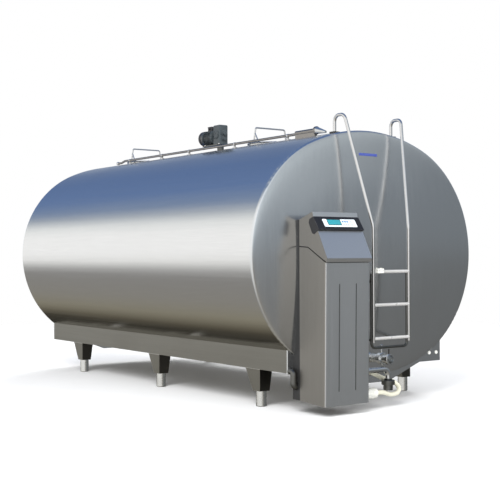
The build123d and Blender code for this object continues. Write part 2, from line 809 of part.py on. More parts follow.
with BuildPart() as outlet_valve:
    round_x(valve_x0, valve_x1, 0, outlet_height, outlet_valve_diameter)
    chamfer(outlet_valve.edges().filter_by(GeomType.CIRCLE), valve_chamfer)
    round_x(valve_x0 - 1, valve_x1 - valve_disc, 0, outlet_height, outlet_bore, Mode.SUBTRACT)
save(outlet_valve.part, "outlet_valve")

joint_x = outlet_x - ferrule_sheet
with BuildPart() as outlet_spout:
    round_x(valve_x1, outlet_x, 0, outlet_height, outlet_tube)
    round_x(joint_x, outlet_x, 0, outlet_height, outlet_ferrule)
    chamfer(outlet_spout.faces().sort_by(Axis.X)[-1].edges(), ferrule_chamfer)
    round_x(valve_x1 - 1, outlet_x + 1, 0, outlet_height, outlet_bore, Mode.SUBTRACT)
save(outlet_spout.part, "outlet_spout")

clamp_outer = outlet_tube + 2 * clamp_band
wing_plane = Plane(origin=(joint_x - clamp_width / 2, 0, outlet_height), x_dir=(0, 1, 0),
                   z_dir=(1, 0, 0)).rotated((0, 0, wing_lean))
with BuildPart() as outlet_clamp:
    with BuildSketch(wing_plane):
        with Locations((0, (outlet_tube + wing_length) / 2)):
            RectangleRounded(wing_width, wing_length, wing_width / 3)
    extrude(amount=wing_sheet / 2, both=True)
    round_x(joint_x - clamp_width, joint_x, 0, outlet_height, clamp_outer)
    round_x(joint_x - 2 * clamp_width, joint_x + 1, 0, outlet_height,
            outlet_tube + clamp_play, Mode.SUBTRACT)
save(outlet_clamp.part, "outlet_clamp")

# ---- wash return and its hose -------------------------------------------------------
return_x = rim_x + return_pipe_x
with BuildPart() as return_pipe:
    with BuildLine() as return_path:
        FilletPolyline(
            (return_x, cabinet_right_y, return_pipe_height),
            (return_x, return_pipe_y, return_pipe_height),
            (return_x, return_pipe_y, union_top), radius=return_pipe_bend,
        )
    with BuildSketch(Plane(origin=return_path.line @ 0, z_dir=return_path.line % 0)):
        Circle(return_pipe_diameter / 2)
    sweep()
save(return_pipe.part, "return_pipe")

with BuildPart() as return_union:
    round_z(return_x, return_pipe_y, union_top - union_height, union_top, union_diameter)
    chamfer(return_union.edges().filter_by(GeomType.CIRCLE), collar_chamfer)
    round_z(return_x, return_pipe_y, union_bottom, union_top - union_height, union_skirt)
save(return_union.part, "return_union")

with BuildPart() as hose_fitting:
    round_y(rim_x + fitting_x, cabinet_right_y, fitting_end, fitting_height, fitting_diameter)
    chamfer(hose_fitting.faces().sort_by(Axis.Y)[-1].edges(), collar_chamfer)
save(hose_fitting.part, "hose_fitting")


def arc_radii(points):
    """The arc at each inner point of a route: as large as its two runs leave room for."""
    radii = []
    for before, here, after in zip(points, points[1:], points[2:]):
        run_in = Vector(*here) - Vector(*before)
        run_out = Vector(*after) - Vector(*here)
        half_turn = math.radians(run_in.get_angle(run_out)) / 2
        radii.append(hose_fill * min(run_in.length, run_out.length) / math.tan(half_turn))
    return radii


fitting_place = rim_x + fitting_x
hose_points = [
    (rim_x + hose_start_x, cabinet_right_y - hose_diameter,
     hose_start_height + hose_fall * hose_diameter),
    *[(rim_x + x, y, z) for x, y, z in hose_route],
    (fitting_place, fitting_end + fitting_run, fitting_height),
    (fitting_place, fitting_end, fitting_height),
]
hose_radii = arc_radii(hose_points)
with BuildPart() as wash_hose:
    with BuildLine() as hose_path:
        FilletPolyline(*hose_points, radius=hose_radii)
    with BuildSketch(Plane(origin=hose_path.line @ 0, z_dir=hose_path.line % 0)):
        Circle(hose_diameter / 2)
    sweep()
    with Locations((rim_x + hose_start_x, cabinet_right_y, hose_start_height)):
        Box(4 * hose_diameter, 2 * hose_diameter, 4 * hose_diameter,
            align=(Align.CENTER, Align.MAX, Align.CENTER), mode=Mode.SUBTRACT)
save(wash_hose.part, "wash_hose")
print("hose radii, mm:", [round(radius) for radius in hose_radii])
print("hose length, mm:", round(wash_hose.part.volume / (math.pi * hose_diameter ** 2 / 4)))

# ---- service pipe beside the cabinet ------------------------------------------------
service_y = -cabinet_left - service_pipe_gap - service_pipe_diameter / 2
service_x = rim_x + service_pipe_x
with BuildPart() as service_pipe:
    with BuildLine() as service_path:
        FilletPolyline(
            (rim_x, service_y, service_pipe_top), (service_x, service_y, service_pipe_top),
            (service_x, service_y, service_pipe_low), (service_x, -cabinet_left, service_pipe_low),
            radius=service_pipe_bend,
        )
    with BuildSketch(Plane(origin=service_path.line @ 0, z_dir=service_path.line % 0)):
        Circle(service_pipe_diameter / 2)
    sweep()
    add(front_dish, mode=Mode.SUBTRACT)
save(service_pipe.part, "service_pipe")
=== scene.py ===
# %% [markdown]
# # A milk cooling tank, dressed for its portrait
# A dairy keeps its milk in a long oval tank of brushed stainless steel. The solid model already
# holds every part that fastens or carries load. This lesson gives those parts their finishes, and
# adds what is too small or too soft-edged for a solid model: grain, weld beads, bolts, fins, glass.
#
# The frame comes first. Every place below is read from it, in metres, with +X towards the end that
# carries the cabinet and the ladder, and the floor at height zero.

# %% Load the solid model
import json
import math
import random

import bmesh
import bpy
from mathutils import Matrix, Vector
from mathutils.bvhtree import BVHTree


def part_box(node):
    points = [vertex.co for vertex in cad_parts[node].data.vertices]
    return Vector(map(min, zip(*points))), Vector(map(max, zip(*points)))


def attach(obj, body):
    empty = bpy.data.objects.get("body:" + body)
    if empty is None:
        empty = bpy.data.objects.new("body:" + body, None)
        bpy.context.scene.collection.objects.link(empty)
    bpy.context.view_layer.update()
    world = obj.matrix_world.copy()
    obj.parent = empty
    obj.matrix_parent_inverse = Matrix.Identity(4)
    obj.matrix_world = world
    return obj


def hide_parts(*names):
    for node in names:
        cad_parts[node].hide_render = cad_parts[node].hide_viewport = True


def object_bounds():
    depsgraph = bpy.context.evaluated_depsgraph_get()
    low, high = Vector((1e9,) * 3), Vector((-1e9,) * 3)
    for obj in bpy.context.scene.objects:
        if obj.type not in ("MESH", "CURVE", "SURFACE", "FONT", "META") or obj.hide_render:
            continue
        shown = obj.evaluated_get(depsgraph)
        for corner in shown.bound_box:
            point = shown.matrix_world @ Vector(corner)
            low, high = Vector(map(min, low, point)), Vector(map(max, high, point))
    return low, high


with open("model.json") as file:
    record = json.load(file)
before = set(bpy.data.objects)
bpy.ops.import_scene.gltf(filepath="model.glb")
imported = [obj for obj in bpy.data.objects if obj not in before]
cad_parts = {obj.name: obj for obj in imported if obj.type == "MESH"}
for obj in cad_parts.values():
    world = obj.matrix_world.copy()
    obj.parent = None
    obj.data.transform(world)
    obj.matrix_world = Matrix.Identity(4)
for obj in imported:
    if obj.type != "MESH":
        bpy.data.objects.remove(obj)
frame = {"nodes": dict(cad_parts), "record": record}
CAD_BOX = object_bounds()
NODES = frame["nodes"]
SLOT_OF = {part["node"]: part["material_slot"] for part in frame["record"]["subparts"]}
print("the solid model stands", [round(v, 3) for v in CAD_BOX[1] - CAD_BOX[0]], "metres overall")

# %% [markdown]
# ## The camera
# A product picture of a tank is taken from the height of a standing person's chest, well back and
# with a long lens, so that the far end hardly shrinks. A camera can be aimed with a Track To
# constraint, but a plain direction vector is easier to read and to measure: a heading away from
# the tank's long axis, a slight tilt, and a roll of a fraction of a degree.

# %% Place and aim the camera
CAMERA_PLACE = Vector((7.6525, -5.345, 1.139))
HEADING = math.radians(35.87)
TILT = math.radians(0.29)
ROLL = math.radians(-0.22)
LENS_MM = 73.93


def camera_turn():
    """The camera's rotation: forward along the heading, then rolled about that line."""
    forward = Vector((-math.cos(HEADING) * math.cos(TILT), math.sin(HEADING) * math.cos(TILT),
                      math.sin(TILT)))
    level = Vector((math.sin(HEADING), math.cos(HEADING), 0))
    upright = level.cross(forward)
    right = math.cos(ROLL) * level + math.sin(ROLL) * upright
    up = math.cos(ROLL) * upright - math.sin(ROLL) * level
    return Matrix((right, up, -forward)).transposed()


lens = bpy.data.cameras.new("portrait_lens")
lens.lens = LENS_MM
lens.sensor_width = 36
lens.clip_end = 200
camera = bpy.data.objects.new("portrait_camera", lens)
camera.matrix_world = Matrix.Translation(CAMERA_PLACE) @ camera_turn().to_4x4()
bpy.context.scene.collection.objects.link(camera)
bpy.context.scene.camera = camera
bpy.context.scene.view_settings.view_transform = "Standard"
print("camera", round((CAMERA_PLACE - Vector((0, 0, 1))).length, 2), "m from the tank's middle")

# %% [markdown]
# ## What the steel sees
# Polished metal has almost no colour of its own: it shows its surroundings. A tank like this one
# reads as steel because its flank mirrors an open sky above, a bright band at eye height and
# darker ground below. Painting those bands on the steel would slide wrongly and would
# put light into the model's own colours, so they belong to the world. A studio hangs them up as
# sheets of paper;
# here a gradient round the tank's long axis does it, seen by mirror rays alone. Rays that leave
# along the tank read a second gradient, which is what the end plate mirrors. Everything else gets
# a plain pale surround.

# %% Helpers for node trees
def add_node(tree, kind, **settings):
    """A new node with some of its settings made at once."""
    node = tree.nodes.new(kind)
    for name, value in settings.items():
        setattr(node, name, value)
    return node


def math_node(tree, operation, first, second=0.5):
    """A Math node whose inputs are sockets or plain numbers."""
    node = add_node(tree, "ShaderNodeMath", operation=operation)
    for socket, value in zip(node.inputs, (first, second)):
        if isinstance(value, bpy.types.NodeSocket):
            tree.links.new(value, socket)
        else:
            socket.default_value = value
    return node.outputs[0]


def ramp_node(tree, factor, stops):
    """A Color Ramp from a list of (place, colour)."""
    node = add_node(tree, "ShaderNodeValToRGB")
    marks = node.color_ramp.elements
    while len(marks) < len(stops):
        marks.new(0.5)
    for mark, (place, colour) in zip(marks, stops):
        mark.position = place
        mark.color = (*colour, 1)
    tree.links.new(factor, node.inputs["Fac"])
    return node.outputs["Color"]


def mix_node(tree, factor, first, second):
    """A colour mix whose inputs are sockets or plain values."""
    node = add_node(tree, "ShaderNodeMix", data_type="RGBA")
    for index, value in ((0, factor), (6, first), (7, second)):
        if isinstance(value, bpy.types.NodeSocket):
            tree.links.new(value, node.inputs[index])
        elif index:
            node.inputs[index].default_value = (*value, 1)
        else:
            node.inputs[index].default_value = value
    return node.outputs[2]


def map_node(tree, value, low, high, new_low=0.0, new_high=1.0, curve="LINEAR"):
    """A clamped Map Range."""
    node = add_node(tree, "ShaderNodeMapRange", interpolation_type=curve)
    for label, number in (("From Min", low), ("From Max", high), ("To Min", new_low),
                          ("To Max", new_high)):
        node.inputs[label].default_value = number
    tree.links.new(value, node.inputs["Value"])
    return node.outputs["Result"]


# %% The gradient that the steel mirrors
def around(degrees):
    """Where an angle round the long axis falls on a ramp: 0 is level on the near side, 90 is up."""
    return degrees / 360 + 0.5


FLANK_SIDE = [
    (around(-180), (0.10, 0.10, 0.09)), (around(-124), (0.035, 0.032, 0.025)),
    (around(-92), (0.035, 0.032, 0.025)), (around(-84), (0.12, 0.105, 0.075)),
    (around(-72), (0.26, 0.24, 0.18)), (around(-52), (0.26, 0.25, 0.225)),
    (around(-25), (0.255, 0.25, 0.24)), (around(-17), (0.42, 0.42, 0.41)),
    (around(-8), (0.90, 0.90, 0.88)), (around(2), (1.0, 1.0, 0.99)),
    (around(24), (1.0, 1.0, 0.99)), (around(36), (0.86, 0.88, 0.87)),
    (around(46), (0.42, 0.46, 0.51)), (around(56), (0.21, 0.28, 0.41)),
    (around(75), (0.130, 0.208, 0.395)), (around(110), (0.112, 0.182, 0.355)),
    (around(140), (0.155, 0.215, 0.35)), (around(158), (0.34, 0.40, 0.50)),
    (around(180), (0.34, 0.37, 0.42)),
]
END_SIDE = [
    (around(-180), (0.20, 0.21, 0.215)), (around(-150), (0.18, 0.18, 0.175)),
    (around(-100), (0.20, 0.19, 0.165)), (around(-40), (0.30, 0.29, 0.27)),
    (around(-18), (0.58, 0.58, 0.57)), (around(0), (0.78, 0.78, 0.77)),
    (around(40), (0.80, 0.81, 0.82)), (around(100), (0.72, 0.77, 0.81)),
    (around(128), (0.46, 0.50, 0.53)), (around(138), (0.43, 0.47, 0.50)),
    (around(149), (0.53, 0.58, 0.61)), (around(157), (0.40, 0.44, 0.47)),
    (around(166), (0.255, 0.285, 0.315)), (around(180), (0.245, 0.27, 0.29)),
]


SURROUND = (0.62, 0.63, 0.65)
BACKDROP = (1.0, 1.0, 1.0)


def studio_world():
    """Banded surroundings for mirror rays, plain pale ones for everything else."""
    world = bpy.data.worlds.new("studio")
    bpy.context.scene.world = world
    world.use_nodes = True
    tree = world.node_tree
    tree.nodes.clear()
    coordinates = add_node(tree, "ShaderNodeTexCoord")
    split = add_node(tree, "ShaderNodeSeparateXYZ")
    tree.links.new(coordinates.outputs["Generated"], split.inputs[0])
    toward_y = math_node(tree, "MULTIPLY", split.outputs["Y"], -1.0)
    turn = math_node(tree, "ARCTAN2", split.outputs["Z"], toward_y)
    place = math_node(tree, "ADD", math_node(tree, "DIVIDE", turn, math.tau), 0.5)
    lengthwise = map_node(tree, split.outputs["X"], -0.35, 0.25, curve="SMOOTHSTEP")
    level = map_node(tree, split.outputs["Z"], 0.45, 0.75, 1.0, 0.0)
    end_colour = add_node(tree, "ShaderNodeVectorMath", operation="SCALE")
    tree.links.new(ramp_node(tree, place, END_SIDE), end_colour.inputs[0])
    tree.links.new(map_node(tree, split.outputs["Y"], 0.2, 0.75, 1.3, 0.78),
                   end_colour.inputs["Scale"])
    mirrored = mix_node(tree, math_node(tree, "MULTIPLY", lengthwise, level),
                        ramp_node(tree, place, FLANK_SIDE), end_colour.outputs[0])
    rays = add_node(tree, "ShaderNodeLightPath")
    plain = mix_node(tree, rays.outputs["Is Camera Ray"], SURROUND, BACKDROP)
    colour = mix_node(tree, rays.outputs["Is Glossy Ray"], plain, mirrored)
    background = add_node(tree, "ShaderNodeBackground")
    tree.links.new(colour, background.inputs["Color"])
    output = add_node(tree, "ShaderNodeOutputWorld")
    tree.links.new(background.outputs[0], output.inputs["Surface"])


studio_world()
print("world:", len(FLANK_SIDE), "marks for the flank,", len(END_SIDE), "for the end")

# %% [markdown]
# ## Shared effects
# Steel parts share a few surface effects: the long scratches that a finishing belt leaves, the
# dull patches where dust and milk haze settle, and bright rubbed edges. Each is a node group with
# named sockets, built once. A group puts out only masks and heights. The shader that uses
# them stays in each material.

# %% Node group helpers
def new_group(name, inputs, outputs):
    """An empty shader group with the sockets listed, each input with its value."""
    group = bpy.data.node_groups.new(name, "ShaderNodeTree")
    for label, kind, value in inputs:
        socket = group.interface.new_socket(label, in_out="INPUT", socket_type=kind)
        socket.default_value = value
    for label, kind in outputs:
        group.interface.new_socket(label, in_out="OUTPUT", socket_type=kind)
    return group, group.nodes.new("NodeGroupInput"), group.nodes.new("NodeGroupOutput")


FLOAT, VECTOR = "NodeSocketFloat", "NodeSocketVector"


def noise_node(tree, vector, scale, detail=3.0, roughness=0.55):
    """Noise of a given scale on a vector socket."""
    node = add_node(tree, "ShaderNodeTexNoise")
    for label, value in (("Scale", scale), ("Detail", detail), ("Roughness", roughness)):
        if isinstance(value, bpy.types.NodeSocket):
            tree.links.new(value, node.inputs[label])
        else:
            node.inputs[label].default_value = value
    tree.links.new(vector, node.inputs["Vector"])
    return node.outputs["Fac"]


# %% Belt grain: noise drawn out along one direction
def belt_grain_group():
    group, inside, out = new_group(
        "belt_grain",
        [("Stretch", VECTOR, (1.0, 60.0, 60.0)), ("Fineness", FLOAT, 6.0)],
        [("Grain", FLOAT), ("Sheen Bands", FLOAT)],
    )
    place = add_node(group, "ShaderNodeTexCoord")
    stretched = add_node(group, "ShaderNodeVectorMath", operation="MULTIPLY")
    group.links.new(place.outputs["Object"], stretched.inputs[0])
    group.links.new(inside.outputs["Stretch"], stretched.inputs[1])
    fine = noise_node(group, stretched.outputs[0], inside.outputs["Fineness"], 4.0, 0.6)
    coarse = noise_node(group, stretched.outputs[0], 0.7, 2.0, 0.5)
    group.links.new(fine, out.inputs["Grain"])
    group.links.new(coarse, out.inputs["Sheen Bands"])
    return group


# %% Settled haze: more of it low down and on surfaces that face up
def haze_group():
    group, inside, out = new_group(
        "settled_haze",
        [("Patch Size", FLOAT, 2.2), ("Low Start", FLOAT, 0.5), ("Amount", FLOAT, 0.6)],
        [("Haze", FLOAT)],
    )
    place = add_node(group, "ShaderNodeTexCoord")
    patches = map_node(group, noise_node(group, place.outputs["Object"],
                                         inside.outputs["Patch Size"], 5.0, 0.6), 0.42, 0.72)
    split = add_node(group, "ShaderNodeSeparateXYZ")
    group.links.new(place.outputs["Object"], split.inputs[0])
    height = math_node(group, "DIVIDE", split.outputs["Z"], inside.outputs["Low Start"])
    low = map_node(group, height, 0.1, 1.0, 1.0, 0.0)
    facing = add_node(group, "ShaderNodeSeparateXYZ")
    shape = add_node(group, "ShaderNodeNewGeometry")
    group.links.new(shape.outputs["Normal"], facing.inputs[0])
    upward = map_node(group, facing.outputs["Z"], 0.6, 1.0)
    settled = math_node(group, "MAXIMUM", low, math_node(group, "MULTIPLY", upward, 0.7))
    mixed = math_node(group, "MULTIPLY", math_node(group, "ADD", settled, 0.12), patches)
    group.links.new(math_node(group, "MULTIPLY", mixed, inside.outputs["Amount"]),
                    out.inputs["Haze"])
    return group


# %% Rubbed edges: where a rounded-off normal parts from the true one
def edge_wear_group():
    group, inside, out = new_group(
        "rubbed_edges", [("Breakup", FLOAT, 40.0), ("Amount", FLOAT, 0.8)], [("Wear", FLOAT)])
    shape = add_node(group, "ShaderNodeNewGeometry")
    rounded = add_node(group, "ShaderNodeBevel", samples=4)
    rounded.inputs["Radius"].default_value = 0.003
    apart = add_node(group, "ShaderNodeVectorMath", operation="DOT_PRODUCT")
    group.links.new(rounded.outputs["Normal"], apart.inputs[0])
    group.links.new(shape.outputs["Normal"], apart.inputs[1])
    edge = map_node(group, apart.outputs["Value"], 0.99, 0.85)
    place = add_node(group, "ShaderNodeTexCoord")
    broken = map_node(group, noise_node(group, place.outputs["Object"],
                                        inside.outputs["Breakup"]), 0.35, 0.65)
    worn = math_node(group, "MULTIPLY", edge, broken)
    group.links.new(math_node(group, "MULTIPLY", worn, inside.outputs["Amount"]),
                    out.inputs["Wear"])
    return group


GRAIN, HAZE, WEAR = belt_grain_group(), haze_group(), edge_wear_group()
print("shared effects:", ", ".join(group.name for group in (GRAIN, HAZE, WEAR)))

# %% [markdown]
# ## Finishes
# One function makes every bare steel: its colour, how polished it is, which way the belt ran and
# how much haze it holds. A painted, moulded or rubber surface has its own short function. Each
# finish could be set up by hand in the shader editor, but then twenty of them would drift apart.
# Naming them after the solid model's material slots lets one loop dress all its parts.

# %% A bare steel
def place_group(tree, group, **values):
    """A group node with some of its inputs set."""
    node = add_node(tree, "ShaderNodeGroup", node_tree=group)
    for label, value in values.items():
        node.inputs[label].default_value = value
    return node


def new_material(name):
    """A node material cleared down to its Principled shader."""
    material = bpy.data.materials.new(name)
    material.use_nodes = True
    return material, material.node_tree, material.node_tree.nodes["Principled BSDF"]


def scaled(colour, *factors):
    """A colour times one factor, or times one for each channel."""
    return tuple(value * factor for value, factor in zip(colour, factors * (3 // len(factors))))


def steel(name, colour, roughness, stretch, haze, depth=0.0002, fineness=6.0, lengthwise=None,
          metal=1.0):
    """Stainless steel with belt grain, settled haze and brighter rubbed edges.

    A second tone, lengthwise, goes on the faces that point along the tank: painted light and
    shade, a lighter or darker copy of the steel standing in for how the light falls on those faces.
    """
    material, tree, shader = new_material(name)
    grain = place_group(tree, GRAIN, Stretch=stretch, Fineness=fineness)
    dull = place_group(tree, HAZE, Amount=haze)
    worn = place_group(tree, WEAR)
    bands = map_node(tree, grain.outputs["Sheen Bands"], 0.3, 0.7, -0.035, 0.035)
    rough = math_node(tree, "ADD", math_node(tree, "ADD", bands, roughness),
                      math_node(tree, "MULTIPLY", dull.outputs["Haze"], 0.22))
    tree.links.new(rough, shader.inputs["Roughness"])
    streaks = map_node(tree, grain.outputs["Grain"], 0.3, 0.7)
    hazy = scaled(colour, 0.74, 0.72, 0.68)
    bright = tuple(min(1.0, value) for value in scaled(colour, 1.12))
    base = mix_node(tree, streaks, scaled(colour, 0.93), colour)
    # Painted light and shade: faces that point along X take the second tone, lighter or darker by
    # finish.
    if lengthwise:
        shape = add_node(tree, "ShaderNodeNewGeometry")
        facing = add_node(tree, "ShaderNodeSeparateXYZ")
        tree.links.new(shape.outputs["Normal"], facing.inputs[0])
        along = math_node(tree, "ABSOLUTE", facing.outputs["X"])
        painted_facing_tone = mix_node(tree, streaks, scaled(lengthwise, 0.93), lengthwise)
        base = mix_node(tree, map_node(tree, along, 0.72, 0.8), base, painted_facing_tone)
    base = mix_node(tree, dull.outputs["Haze"], base, hazy)
    base = mix_node(tree, worn.outputs["Wear"], base, bright)
    tree.links.new(base, shader.inputs["Base Color"])
    shader.inputs["Metallic"].default_value = metal
    bump = add_node(tree, "ShaderNodeBump")
    bump.inputs["Strength"].default_value = 0.35
    bump.inputs["Distance"].default_value = depth
    tree.links.new(grain.outputs["Grain"], bump.inputs["Height"])
    tree.links.new(bump.outputs["Normal"], shader.inputs["Normal"])
    return material


# How much the grain is drawn together along each axis: a small number is the belt's direction.
ALONG, UPRIGHT, LEVEL = (1.0, 70.0, 70.0), (70.0, 70.0, 1.2), (70.0, 1.2, 70.0)
EVEN, CLOSE, COARSE = (30.0, 30.0, 30.0), (60.0, 60.0, 60.0), (20.0, 20.0, 20.0)
FINISH = {
    "shell_steel": steel("shell_steel", (0.86, 0.86, 0.86), 0.17, ALONG, 0.25, 0.00015, 5.0),
    "end_steel": steel("end_steel", (0.84, 0.85, 0.86), 0.20, UPRIGHT, 0.3, 0.00015, 5.0),
    # Painted light: the skirt beams' ends take a lighter second tone than their flanks.
    "skirt_steel": steel("skirt_steel", (0.29, 0.28, 0.25), 0.40, ALONG, 0.3, 0.0003,
                         lengthwise=(0.62, 0.62, 0.60)),
    "leg_steel": steel("leg_steel", (0.80, 0.80, 0.78), 0.22, LEVEL, 0.4),
    # Painted light and shade: the cabinet's front is painted much lighter than its darker sides.
    "cabinet_steel": steel("cabinet_steel", (0.34, 0.325, 0.30), 0.42, UPRIGHT, 0.12, 0.0002,
                           lengthwise=(0.90, 0.90, 0.90)),
    "lid_steel": steel("lid_steel", (0.78, 0.78, 0.77), 0.28, LEVEL, 0.3),
    "tube_steel": steel("tube_steel", (0.80, 0.79, 0.78), 0.16, EVEN, 0.1),
    "pipe_steel": steel("pipe_steel", (0.80, 0.81, 0.81), 0.2, EVEN, 0.25),
    "dark_steel": steel("dark_steel", (0.20, 0.20, 0.19), 0.38, COARSE, 0.5),
    # Painted shade: the brackets' faces along the tank are painted darker than their sides.
    "bracket_steel": steel("bracket_steel", (0.24, 0.23, 0.20), 0.36, UPRIGHT, 0.3,
                           lengthwise=(0.09, 0.085, 0.075)),
    "rung_steel": steel("rung_steel", (0.66, 0.65, 0.63), 0.3, EVEN, 0.1, metal=0.35),
    "rail_steel": steel("rail_steel", (0.34, 0.32, 0.30), 0.28, EVEN, 0.2),
}
print("steels:", ", ".join(FINISH))


# %% Paint, plastic and rubber
def moulded(name, colour, roughness, mottle=0.1, grain_scale=300.0, depth=0.0002):
    """A painted or moulded surface: slight mottling, fine texture and rubbed edges."""
    material, tree, shader = new_material(name)
    place = add_node(tree, "ShaderNodeTexCoord")
    patches = noise_node(tree, place.outputs["Object"], 9.0, 4.0)
    fine = noise_node(tree, place.outputs["Object"], grain_scale, 2.0)
    dull = place_group(tree, HAZE, Amount=0.5)
    worn = place_group(tree, WEAR)
    lighter = tuple(value + (1 - value) * 0.25 for value in colour)
    base = mix_node(tree, map_node(tree, patches, 0.35, 0.65), scaled(colour, 1 - mottle), colour)
    base = mix_node(tree, math_node(tree, "MULTIPLY", worn.outputs["Wear"], 0.6), base, lighter)
    tree.links.new(base, shader.inputs["Base Color"])
    rough = math_node(tree, "ADD", math_node(tree, "MULTIPLY", dull.outputs["Haze"], 0.3),
                      map_node(tree, patches, 0.3, 0.7, roughness - 0.04, roughness + 0.04))
    tree.links.new(rough, shader.inputs["Roughness"])
    bump = add_node(tree, "ShaderNodeBump")
    bump.inputs["Strength"].default_value = 0.3
    bump.inputs["Distance"].default_value = depth
    tree.links.new(fine, bump.inputs["Height"])
    tree.links.new(bump.outputs["Normal"], shader.inputs["Normal"])
    return material


for name, *looks in (
    ("cabinet_core", (0.02, 0.02, 0.02), 0.5),
    ("bezel_black", (0.012, 0.012, 0.014), 0.36),
    ("panel_white", (0.74, 0.82, 0.87), 0.3, 0.04, 600.0, 0.00005),
    ("machine_grey", (0.055, 0.068, 0.075), 0.34, 0.25),
    ("motor_black", (0.025, 0.026, 0.028), 0.45),
    ("pad_rubber", (0.03, 0.03, 0.03), 0.7),
    ("fitting_white", (0.80, 0.80, 0.74), 0.4, 0.08),
    ("hose_cream", (0.76, 0.74, 0.60), 0.42, 0.12),
    ("key_blue", (0.10, 0.22, 0.42), 0.42, 0.05),
    ("key_grey", (0.42, 0.47, 0.50), 0.42, 0.05),
    ("strip_blue", (0.05, 0.075, 0.30), 0.35, 0.06),
):
    FINISH[name] = moulded(name, *looks)
print(len(FINISH), "finishes")

# %% Dress the solid parts
OWN_FINISH = {"foot_brackets": "bracket_steel", "ladder_rungs": "rung_steel",
              "wash_rail": "rail_steel", "wash_inlet": "rail_steel"}
for name, part in NODES.items():
    part.data.materials.clear()
    part.data.materials.append(FINISH[OWN_FINISH.get(name, SLOT_OF[name])])
print("dressed", len(NODES), "solid parts in", len(set(SLOT_OF.values())), "finishes")

# %% [markdown]
# ## Floor and lights
# The floor is a broad pale sheet, which fades out before its edge could show. It is hidden from
# mirror rays, so the steel's underside reads the world's darker ground instead. A shadow catcher
# would do as well, but a plain sheet also lights the underside. Three large, soft area lights shape
# the painted parts and lay a faint shadow under the feet.

# %% The floor
FLOOR_REACH = 60.0
FADE_START, FADE_END = 3.0, 9.0


def studio_floor():
    """A pale matt sheet that turns clear away from the tank."""
    net = bmesh.new()
    bmesh.ops.create_grid(net, x_segments=8, y_segments=8, size=FLOOR_REACH)
    mesh = bpy.data.meshes.new("studio_floor")
    net.to_mesh(mesh)
    net.free()
    floor = bpy.data.objects.new("studio_floor", mesh)
    material, tree, shader = new_material("pale_floor")
    place = add_node(tree, "ShaderNodeTexCoord")
    speckle = noise_node(tree, place.outputs["Object"], 3.0, 5.0)
    tree.links.new(mix_node(tree, speckle, (0.90, 0.90, 0.90), (0.95, 0.95, 0.95)),
                   shader.inputs["Base Color"])
    shader.inputs["Roughness"].default_value = 0.9
    distance = add_node(tree, "ShaderNodeVectorMath", operation="LENGTH")
    tree.links.new(place.outputs["Object"], distance.inputs[0])
    tree.links.new(map_node(tree, distance.outputs["Value"], FADE_START, FADE_END, 1.0, 0.0),
                   shader.inputs["Alpha"])
    mesh.materials.append(material)
    floor.visible_glossy = False
    bpy.context.scene.collection.objects.link(floor)


def soft_light(name, place, target, watts):
    """A square area light that looks at a point and is hidden from mirror rays."""
    lamp = bpy.data.lights.new(name, "AREA")
    lamp.size = 5.0
    lamp.energy = watts
    light = bpy.data.objects.new(name, lamp)
    aim = (Vector(target) - Vector(place)).to_track_quat("-Z", "Y")
    light.matrix_world = Matrix.Translation(place) @ aim.to_matrix().to_4x4()
    light.visible_glossy = False
    bpy.context.scene.collection.objects.link(light)


studio_floor()
soft_light("key_light", (5.0, -6.0, 6.0), (0, 0, 1), 900)
soft_light("fill_light", (7.0, 5.0, 4.0), (1, 0, 1), 350)
soft_light("back_light", (-6.0, 4.0, 6.0), (0, 0, 1), 500)
print("floor and", len(bpy.data.lights), "lights")

# %% [markdown]
# ## Making small pieces
# Small fittings are built straight into a mesh, in the tank's own coordinates, so they need no
# placing afterwards. Three shapes cover nearly all of them: something turned on a lathe, a block
# with softened edges, and a bead or rod that follows a line. Each helper adds to a bmesh, so one
# object can hold a whole set of bolts. The alternative, Blender's primitives with modifiers, would
# need many more objects.

# %% A lathe shape
def add_turned(net, profile, start, axis, segments=40):
    """A lathe shape. The profile lists (distance along the axis, radius) from end to end."""
    turn = Vector(axis).to_track_quat("Z", "X").to_matrix()
    rings = []
    for along, radius in profile:
        ring = []
        for step in range(segments if radius > 0 else 1):
            angle = math.tau * step / segments
            spot = Vector((radius * math.cos(angle), radius * math.sin(angle), along))
            ring.append(net.verts.new(Vector(start) + turn @ spot))
        rings.append(ring)
    for low, high in zip(rings, rings[1:]):
        for step in range(segments):
            near, far = step, (step + 1) % segments
            corners = [low[near % len(low)], low[far % len(low)], high[far % len(high)],
                       high[near % len(high)]]
            unique = list(dict.fromkeys(corners))
            if len(unique) > 2:
                net.faces.new(unique)
    for ring in (rings[0], rings[-1]):
        if len(ring) > 2:
            net.faces.new(ring)


# %% A block with rounded edges
def add_block(net, middle, size, bevel=0.002, turn=Matrix.Identity(3)):
    """A block with rounded edges."""
    place = Matrix.Translation(middle) @ turn.to_4x4() @ Matrix.Diagonal((*size, 1))
    made = bmesh.ops.create_cube(net, size=1.0, matrix=place)
    edges = list({edge for vert in made["verts"] for edge in vert.link_edges})
    bmesh.ops.bevel(net, geom=edges, offset=bevel, segments=3, affect="EDGES", profile=0.5)


# %% A rod or bead along a line
def add_rod(net, points, radius, segments=12, closed=False, ripple=0.0, seed=1):
    """A round rod or weld bead along a line of points."""
    dice = random.Random(seed)
    points = [Vector(point) for point in points]
    count = len(points)
    rings = []
    side = None
    for index, point in enumerate(points):
        before = points[index - 1] if index or closed else point
        after = points[(index + 1) % count] if index < count - 1 or closed else point
        run = (after - before).normalized()
        if side is None:
            side = run.orthogonal().normalized()
        side = (side - side.dot(run) * run).normalized()
        across = run.cross(side)
        swell = radius * (1 + ripple * dice.uniform(-1, 1))
        rings.append([
            net.verts.new(point + swell * (math.cos(a) * side + math.sin(a) * across))
            for a in (math.tau * step / segments for step in range(segments))
        ])
    pairs = list(zip(rings, rings[1:])) + ([(rings[-1], rings[0])] if closed else [])
    for low, high in pairs:
        for step in range(segments):
            far = (step + 1) % segments
            net.faces.new((low[step], low[far], high[far], high[step]))
    if not closed:
        net.faces.new(rings[0][::-1])
        net.faces.new(rings[-1])


